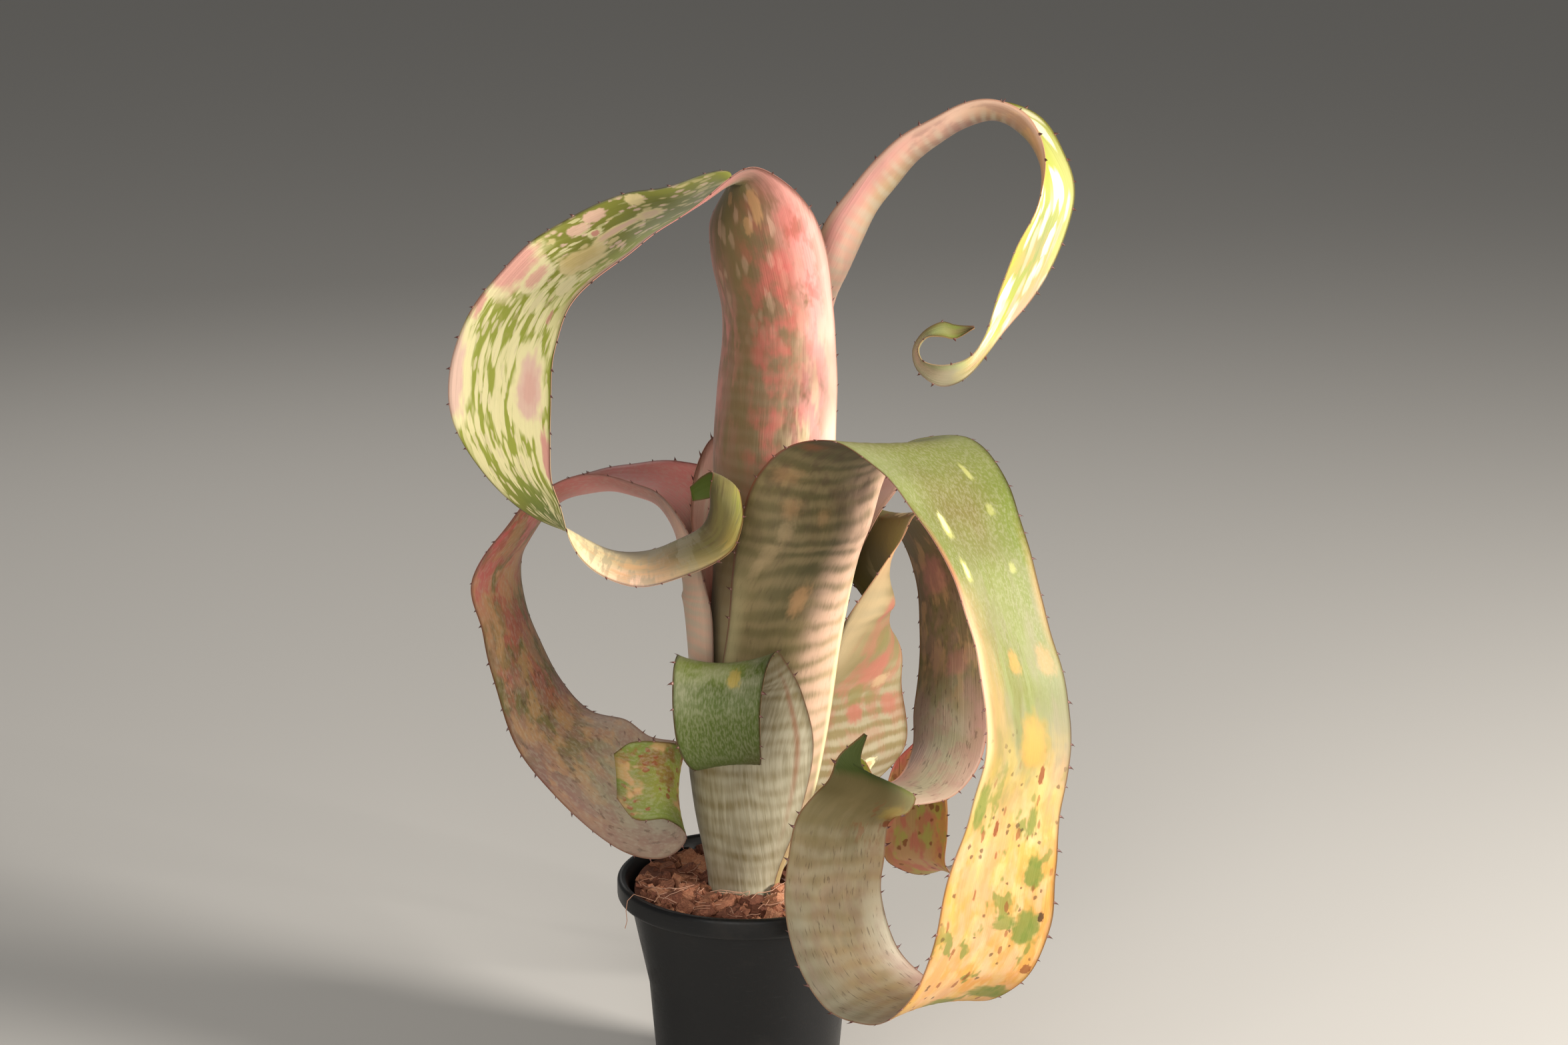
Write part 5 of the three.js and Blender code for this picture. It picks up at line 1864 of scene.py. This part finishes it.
def pot_profile():
    rim_foot = POT_HEIGHT - RIM_BAND
    outside = [(0, BASE_LIFT), (FOOT_RADIUS - FOOT_RING - 1, BASE_LIFT), (FOOT_RADIUS - FOOT_RING, 0)]
    outside += [(FOOT_RADIUS - FOOT_EDGE, 0)]
    outside += arc((FOOT_RADIUS - FOOT_EDGE, FOOT_EDGE), FOOT_EDGE, -90, -10, 5)
    outside += [(BELLY_RADIUS, BELLY_HEIGHT), (NECK_RADIUS, rim_foot)]
    rim = arc((RIM_RADIUS - RIM_EDGE, rim_foot + RIM_EDGE_RISE), RIM_EDGE, -90, 0, 5)
    rim += arc((RIM_RADIUS - RIM_ROLL, POT_HEIGHT - RIM_ROLL), RIM_ROLL, 0, 150, 8)
    inside = [(NECK_RADIUS - WALL, rim_foot - 1), (BELLY_RADIUS - WALL, BELLY_HEIGHT)]
    inside += [(FOOT_RADIUS - WALL, BASE_THICKNESS), (0, BASE_THICKNESS)]
    return outside + rim + inside


# %% [markdown]
# A bmesh, Blender's editable mesh, does the turning. The drain holes are cut with a boolean, whose
# result becomes the pot's own mesh.

# %% Pot mesh
POT_STEPS = 144
POT_SHARP = 35
WELD = 1e-6
DRAIN_COUNT = 8
DRAIN_RADIUS = 4
DRAIN_CIRCLE = 25
DRAIN_DEPTH = 12
DRAIN_SEGMENTS = 32


def shape_object(name, shape):
    """Turns a bmesh into an object of the scene."""
    mesh = bpy.data.meshes.new(name)
    shape.to_mesh(mesh)
    shape.free()
    return mesh_object(name, mesh)


def circle(radius, heights):
    """Points evenly round the axis in metres, one for each height."""
    places = []
    for k, height in enumerate(heights):
        angle = TURN * k / len(heights)
        places.append((radius * math.cos(angle) * MM, radius * math.sin(angle) * MM, height * MM))
    return places


def spin(name, profile, steps):
    """Turns a profile of (radius, height) points round the Z axis into a closed shape."""
    shape = bmesh.new()
    points = [shape.verts.new((r * MM, 0, z * MM)) for r, z in profile]
    edges = [shape.edges.new(pair) for pair in zip(points, points[1:])]
    bmesh.ops.spin(shape, geom=points + edges, axis=(0, 0, 1), cent=(0, 0, 0), steps=steps, angle=TURN)
    bmesh.ops.remove_doubles(shape, verts=shape.verts, dist=WELD)
    bmesh.ops.recalc_face_normals(shape, faces=shape.faces)
    return shape_object(name, shape)


def drain_cutter():
    shape = bmesh.new()
    sizes = {"radius1": DRAIN_RADIUS * MM, "radius2": DRAIN_RADIUS * MM, "depth": DRAIN_DEPTH * MM}
    for place in circle(DRAIN_CIRCLE, [0] * DRAIN_COUNT):
        made = bmesh.ops.create_cone(shape, cap_ends=True, segments=DRAIN_SEGMENTS, **sizes)
        bmesh.ops.translate(shape, verts=made["verts"], vec=place)
    return shape_object("drain_cutter", shape)


def make_pot():
    pot = spin("pot_shell", pot_profile(), POT_STEPS)
    cutter = drain_cutter()
    cut = pot.modifiers.new("drains", "BOOLEAN")
    cut.operation = "DIFFERENCE"
    cut.solver = "EXACT"
    cut.object = cutter
    mesh = baked_mesh(pot)
    pot.modifiers.clear()
    pot.data = mesh
    bpy.data.objects.remove(cutter)
    mesh.polygons.foreach_set("use_smooth", [True] * len(mesh.polygons))
    mesh.set_sharp_from_angle(angle=math.radians(POT_SHARP))
    return pot


pot = make_pot()
print("pot faces", len(pot.data.polygons))

# %% [markdown]
# The plastic is nearly black and satin. Fine mould grain breaks the shine, faint scuffs run round the
# rim, and a little pale dust lies where water has splashed. The scuffs come from a group of drawn-out
# noise, which the husk and the stock use again for their fibres.

# %% Pot finish
PLASTIC_BLACK = (0.006, 0.0063, 0.007, 1)
DUST_BROWN = (0.06, 0.048, 0.038, 1)
SCUFF_GREY = (0.04, 0.04, 0.042, 1)
GRAIN_SCALE = 1400.0
SCUFF_STREAKS = {"Stretch": (1.0, 1.0, 9.0), "Scale": 160.0, "Detail": 4.0, "Roughness": 0.7}
SCUFF_LIMITS = (0.58, 0.72)
DUST_NOISE = (45.0, 5.0, 0.65)
DUST_LIMITS = (0.52, 0.8)
SHARES = {"dust": 0.22, "scuffs": 0.2}
ROUGHNESS = {"plain": 0.32, "grain": 0.16, "dust": 0.25, "scuffs": 0.12}
GRAIN_BUMP = (0.08 * MM, 0.4)


def make_streaks():
    """Noise drawn out along one way, for scuffs and fibres."""
    inputs = [("Place", VECTOR, None), ("Stretch", VECTOR, (1.0, 1.0, 1.0)), ("Scale", FLOAT, 500.0)]
    inputs += [("Detail", FLOAT, 3.0), ("Roughness", FLOAT, 0.6)]
    tree, given, result = new_group("fine_streaks", inputs, MASK)
    place = {"Vector": given["Place"], "Scale": given["Stretch"]}
    drawn = first_output(tree, "ShaderNodeMapping", place)
    streaks = cloud(tree, drawn, given["Scale"], given["Detail"], given["Roughness"])
    feed(tree, streaks, result["Mask"])
    return tree


STREAKS = make_streaks()


def make_pot_material():
    material, tree, shader = new_material("black_plastic", Specular_IOR_Level=0.3)
    place = object_place(tree)
    grain = cloud(tree, place, GRAIN_SCALE)
    scuffs = fade(tree, use_group(tree, STREAKS, dict(SCUFF_STREAKS, Place=place)), *SCUFF_LIMITS)
    dust = fade(tree, cloud(tree, place, *DUST_NOISE), *DUST_LIMITS)
    base = mix_colour(tree, maths(tree, "MULTIPLY", dust, SHARES["dust"]), PLASTIC_BLACK, DUST_BROWN)
    base = mix_colour(tree, maths(tree, "MULTIPLY", scuffs, SHARES["scuffs"]), base, SCUFF_GREY)
    feed(tree, base, shader.inputs["Base Color"])
    rough = ROUGHNESS["plain"]
    for name, mask in (("grain", grain), ("dust", dust), ("scuffs", scuffs)):
        rough = maths(tree, "MULTIPLY_ADD", mask, ROUGHNESS[name], rough)
    feed(tree, rough, shader.inputs["Roughness"])
    add_bump(tree, shader, grain, *GRAIN_BUMP)
    return material


pot.data.materials.clear()
pot.data.materials.append(make_pot_material())
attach(pot, BODY)
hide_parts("pot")
print("pot finish", pot.data.materials[0].name)

# %% [markdown]
# ## Potting mix
#
# The mix is chopped coconut husk: reddish-brown blocks and crumbs with loose fibres. A bed fills the
# pot up to an uneven top, with a well for the plant. It is built from closed rows of points: rings
# outward over the top, then down inside the wall, and the well by itself.

# %% Bed of the mix
MIX_TOP = 90
MIX_GAP = 0.3
TUBE_ROOM = 16.4
BED_RINGS = 26
BED_STEPS = 120
BED_CROWN = 0.6
SLOPE_START = 30
SLOPE = 0.0016
BED_INSET = WALL + MIX_GAP + 0.2
BED_SIDES = [
    (NECK_RADIUS - BED_INSET - 0.4, POT_HEIGHT - RIM_BAND - 1.5),
    (BELLY_RADIUS - BED_INSET, BELLY_HEIGHT),
    (FOOT_RADIUS - BED_INSET - 0.3, BASE_THICKNESS + MIX_GAP),
    (TUBE_ROOM, BASE_THICKNESS + MIX_GAP),
]


def bed_height(radius, angle):
    """The uneven top of the bed, in millimetres."""
    waves = 0.9 * math.sin(3 * angle + 0.4) + 0.6 * math.sin(7 * angle + radius / 6)
    return MIX_TOP + BED_CROWN + waves - SLOPE * max(radius - SLOPE_START, 0) ** 2


def bed_rows():
    """Closed rows of points over the top of the bed, and down its side to the base."""
    rows = []
    for k in range(BED_RINGS + 1):
        radius = TUBE_ROOM + (NECK_RADIUS - BED_INSET - TUBE_ROOM) * k / BED_RINGS
        angles = [TURN * step / BED_STEPS for step in range(BED_STEPS)]
        rows.append(circle(radius, [bed_height(radius, angle) for angle in angles]))
    rows += [circle(radius, [height] * BED_STEPS) for radius, height in BED_SIDES]
    return rows


def make_bed():
    shape = bmesh.new()
    rings = [[shape.verts.new(place) for place in row] for row in bed_rows()]
    well_floor = (LEAF_FOOT - MIX_GAP) * MM
    well = [shape.verts.new((vert.co.x, vert.co.y, well_floor)) for vert in rings[0]]
    for near, far in [*zip(rings, rings[1:]), (well, rings[0])]:
        for step in range(BED_STEPS):
            following = (step + 1) % BED_STEPS
            shape.faces.new([near[step], far[step], far[following], near[following]])
    shape.faces.new(well)
    shape.faces.new(list(reversed(rings[-1])))
    bmesh.ops.recalc_face_normals(shape, faces=shape.faces)
    return shape_object("mix_bed", shape)


bed = make_bed()
print("bed faces", len(bed.data.polygons))

# %% [markdown]
# The tree for chips takes a ring of ground, drops points on it, and sets a block on each. The blocks
# are made real first and then pushed about by noise, so no two have the same shape. Their sizes,
# tilts and turns come from fixed seeds. The same tree makes the coarse chips and the crumbs, with
# other sizes.

# %% A tree for husk chips
CHIP_INPUTS = [
    ("Ground", GEOMETRY, None),
    ("Spacing", FLOAT, 0.004),
    ("Smallest", VECTOR, (0.004, 0.003, 0.002)),
    ("Largest", VECTOR, (0.011, 0.007, 0.005)),
    ("Tilt", FLOAT, 0.6),
    ("Roughening", FLOAT, 0.0012),
    SEED_INPUT,
    MATERIAL_INPUT,
]
MOST_CHIPS = 90000.0
BLOCK = {"Size": (1.0, 1.0, 1.0), "Vertices X": 6, "Vertices Y": 4, "Vertices Z": 4}
CHIP_NOISE = (260.0, 3.0, 0.65)
CHIP_PUSH = 4.0


def chip_turn(tree, tilt, seed):
    """A random turn of each chip, tilted both ways by up to the tilt."""
    back = maths(tree, "MULTIPLY", tilt, -1.0)
    low, high = join(tree, back, back), join(tree, tilt, tilt, TURN)
    return random_value(tree, low, high, seed, "turn", "FLOAT_VECTOR")


def make_chip_tree():
    tree, given, result = new_group("husk_chips", CHIP_INPUTS, [("Chips", GEOMETRY)], GROWING)
    seed = given["Seed"]
    ground = {"Mesh": given["Ground"], "Distance Min": given["Spacing"], "Density Max": MOST_CHIPS}
    ground["Seed"] = seed
    kind = "GeometryNodeDistributePointsOnFaces"
    blocks = first_output(tree, "GeometryNodeInstanceOnPoints", {
        "Points": first_output(tree, kind, ground, distribute_method="POISSON"),
        "Instance": first_output(tree, "GeometryNodeMeshCube", BLOCK),
        "Rotation": chip_turn(tree, given["Tilt"], seed),
        "Scale": random_value(tree, given["Smallest"], given["Largest"], seed, "size", "FLOAT_VECTOR"),
    })
    chance = random_value(tree, 0.0, 1.0, seed, "tint")
    real = realized(tree, keep_number(tree, blocks, "chip", chance, "INSTANCE"))
    pushed = push(tree, first_output(tree, "GeometryNodeInputPosition"), *CHIP_NOISE)
    offset = scaled(tree, pushed, maths(tree, "MULTIPLY", given["Roughening"], CHIP_PUSH))
    ragged = first_output(tree, "GeometryNodeSetPosition", {"Geometry": real, "Offset": offset})
    end_tree(tree, ragged, given["Material"], result["Chips"])
    return tree


CHIP_TREE = make_chip_tree()

# %% [markdown]
# Husk is brown with red in it, and its fibres run one way. Each chip takes its own tint from the
# number that the tree stored on it, and fine streaks follow the fibre.

# %% Husk finish
HUSK_COLOURS = [
    (0.0, (0.05, 0.018, 0.012, 1)),
    (0.4, (0.2, 0.075, 0.045, 1)),
    (0.65, (0.4, 0.17, 0.095, 1)),
    (1.0, (0.62, 0.34, 0.19, 1)),
]
HUSK_FIBRE = {"Stretch": (0.16, 1.0, 1.0), "Scale": 1500.0, "Detail": 3.0, "Roughness": 0.6}
HUSK_CLOUD = (140.0, 3.0, 0.6)
CHIP_TINT = 0.45
CLOUD_TINT = 0.3
FIBRE_TINT = (0.7, -0.2)
HUSK_BUMP = (0.6 * MM, 0.9)


def make_husk_material():
    material, tree, shader = new_material("coconut_husk", Specular_IOR_Level=0.25, Roughness=0.9)
    chip = stored_number(tree, "chip")
    place = object_place(tree)
    angle = {"Vector": place, "Angle": maths(tree, "MULTIPLY", chip, TURN)}
    turned = first_output(tree, "ShaderNodeVectorRotate", angle, rotation_type="Z_AXIS")
    fibre = use_group(tree, STREAKS, dict(HUSK_FIBRE, Place=turned))
    uneven = maths(tree, "MULTIPLY", cloud(tree, place, *HUSK_CLOUD), CLOUD_TINT)
    tone = maths(tree, "ADD", maths(tree, "MULTIPLY", chip, CHIP_TINT), uneven)
    tone = maths(tree, "ADD", tone, maths(tree, "MULTIPLY_ADD", fibre, *FIBRE_TINT))
    feed(tree, colour_ramp(tree, tone, HUSK_COLOURS), shader.inputs["Base Color"])
    add_bump(tree, shader, fibre, *HUSK_BUMP)
    return material


HUSK = make_husk_material()
print("husk finish", HUSK.name)

# %% [markdown]
# Two sorts lie on the bed: coarse chips, kept clear of the tube and the wall, and crumbs that reach
# closer to both. A ring of ground is two radii and a height.

# %% Chips on the bed
GROUND_STEPS = 48
CHIP_SORTS = {
    "husk_chips": {
        "ring": (TUBE_ROOM + 5, NECK_RADIUS - WALL - 6.5, MIX_TOP + 1.2),
        "values": {"Spacing": 0.0062, "Smallest": (0.006, 0.004, 0.003),
                   "Largest": (0.013, 0.008, 0.006), "Tilt": 0.55, "Roughening": 0.0012, "Seed": 4},
    },
    "husk_crumbs": {
        "ring": (TUBE_ROOM + 1.6, NECK_RADIUS - WALL - 2, MIX_TOP + 0.9),
        "values": {"Spacing": 0.0024, "Smallest": (0.002, 0.0015, 0.001),
                   "Largest": (0.006, 0.003, 0.0025), "Tilt": 0.8, "Roughening": 0.0005, "Seed": 9},
    },
}


def ground_ring(name, inner_radius, outer_radius, height):
    """A flat ring that the chips are dealt out on."""
    heights = [height] * GROUND_STEPS
    faces = []
    for k in range(GROUND_STEPS):
        following = (k + 1) % GROUND_STEPS
        faces.append((k, GROUND_STEPS + k, GROUND_STEPS + following, following))
    return new_mesh(name, circle(inner_radius, heights) + circle(outer_radius, heights), [], faces)


for name, sort in CHIP_SORTS.items():
    values = dict(sort["values"], Material=HUSK)
    chips = grow(name, ground_ring(name + "_ground", *sort["ring"]), CHIP_TREE, values)
    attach(chips, BODY)
    print(name, "faces", len(chips.data.polygons))
bed.data.materials.append(HUSK)
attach(bed, BODY)
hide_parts("potting_mix")

# %% [markdown]
# Loose fibres lie among the chips, and one long pale one hangs over the rim at the front left. Each is
# a bent line of points. It wanders as it goes, and turns away where it would leave the bed.

# %% Lines of the fibres
FIBRE_COUNT = 70
FIBRE_LENGTH = (9, 26)
FIBRE_POINTS = 7
FIBRE_BEND = 0.55
FIBRE_RISE = 0.35
FIBRE_START = (2.5, 4.5)
FIBRE_SEED = 23
TURN_AWAY = 1.6
LIFT_AWAY = 0.4
HANGING_FIBRE = [(-36, -24, 92), (-41, -25.5, 94.5), (-44.6, -27, 96.2), (-47, -28.3, 94),
                 (-47.6, -28.8, 90), (-47.2, -29.4, 86), (-48, -30, 83)]


def fibre_line(chance):
    """A line of points that lies on the bed and bends as it goes."""
    angle = chance.uniform(0, TURN)
    radius = chance.uniform(TUBE_ROOM + 4, NECK_RADIUS - WALL - 4)
    height = MIX_TOP + chance.uniform(*FIBRE_START)
    place = np.array([radius * math.cos(angle), radius * math.sin(angle), height])
    heading = chance.uniform(0, TURN)
    step = chance.uniform(*FIBRE_LENGTH) / (FIBRE_POINTS - 1)
    line = []
    for _ in range(FIBRE_POINTS):
        line.append(place)
        heading += chance.uniform(-FIBRE_BEND, FIBRE_BEND)
        rise = chance.uniform(-FIBRE_RISE, FIBRE_RISE)
        ahead = place + step * np.array([math.cos(heading), math.sin(heading), rise])
        if TUBE_ROOM + 3 < math.hypot(ahead[0], ahead[1]) < NECK_RADIUS - WALL - 1:
            place = ahead
        else:
            heading += TURN_AWAY
            place = place + LIFT_AWAY * UP
    return line


def fibre_mesh():
    chance = np.random.default_rng(FIBRE_SEED)
    lines = [fibre_line(chance) for _ in range(FIBRE_COUNT)] + [HANGING_FIBRE]
    return lines_mesh("fibre_lines", [(np.array(line, float) * MM).tolist() for line in lines])


# %% [markdown]
# One small tree gives every line a thin round section. The fibres are rusty in places and pale in
# others.

# %% Loose fibres
FIBRE_INPUTS = [("Lines", GEOMETRY, None), ("Radius", FLOAT, 0.00016), MATERIAL_INPUT]
FIBRE_SIDES = 5
FIBRE_CLOUD_SCALE = 60.0


def make_fibre_tree():
    tree, given, result = new_group("loose_fibres", FIBRE_INPUTS, [("Fibres", GEOMETRY)], GROWING)
    lines = first_output(tree, "GeometryNodeMeshToCurve", {0: given["Lines"]})
    sizes = {"Resolution": FIBRE_SIDES, "Radius": given["Radius"]}
    section = first_output(tree, "GeometryNodeCurvePrimitiveCircle", sizes)
    values = {"Curve": lines, "Profile Curve": section, "Fill Caps": True}
    strands = realized(tree, first_output(tree, "GeometryNodeCurveToMesh", values))
    end_tree(tree, strands, given["Material"], result["Fibres"])
    return tree


def make_fibre_material():
    material, tree, shader = new_material("husk_fibre", Roughness=0.8, Specular_IOR_Level=0.3)
    tone = cloud(tree, object_place(tree), FIBRE_CLOUD_SCALE)
    feed(tree, mix_colour(tree, tone, colour("rust"), colour("blush")), shader.inputs["Base Color"])
    return material


fibres = grow("husk_fibres", fibre_mesh(), make_fibre_tree(), {"Material": make_fibre_material()})
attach(fibres, BODY)
print("fibre faces", len(fibres.data.polygons))

# %% [markdown]
# The stock, the short stem inside the tube, keeps its solid and only gets a dull fibrous finish.

# %% Stock finish
STOCK_FIBRE = {"Stretch": (1.0, 1.0, 0.12), "Scale": 1600.0, "Detail": 4.0, "Roughness": 0.6}
STOCK_BUMP = (0.4 * MM, 0.8)


def make_stock_material():
    material, tree, shader = new_material("stock_bark", Roughness=0.85, Specular_IOR_Level=0.3)
    fibre = use_group(tree, STREAKS, dict(STOCK_FIBRE, Place=object_place(tree)))
    base = mix_colour(tree, fibre, colour("umber"), colour("olive_gold"))
    feed(tree, base, shader.inputs["Base Color"])
    add_bump(tree, shader, fibre, *STOCK_BUMP)
    return material


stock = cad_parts["stock"]
stock.data.materials.clear()
stock.data.materials.append(make_stock_material())
print("stock finish", stock.data.materials[0].name)
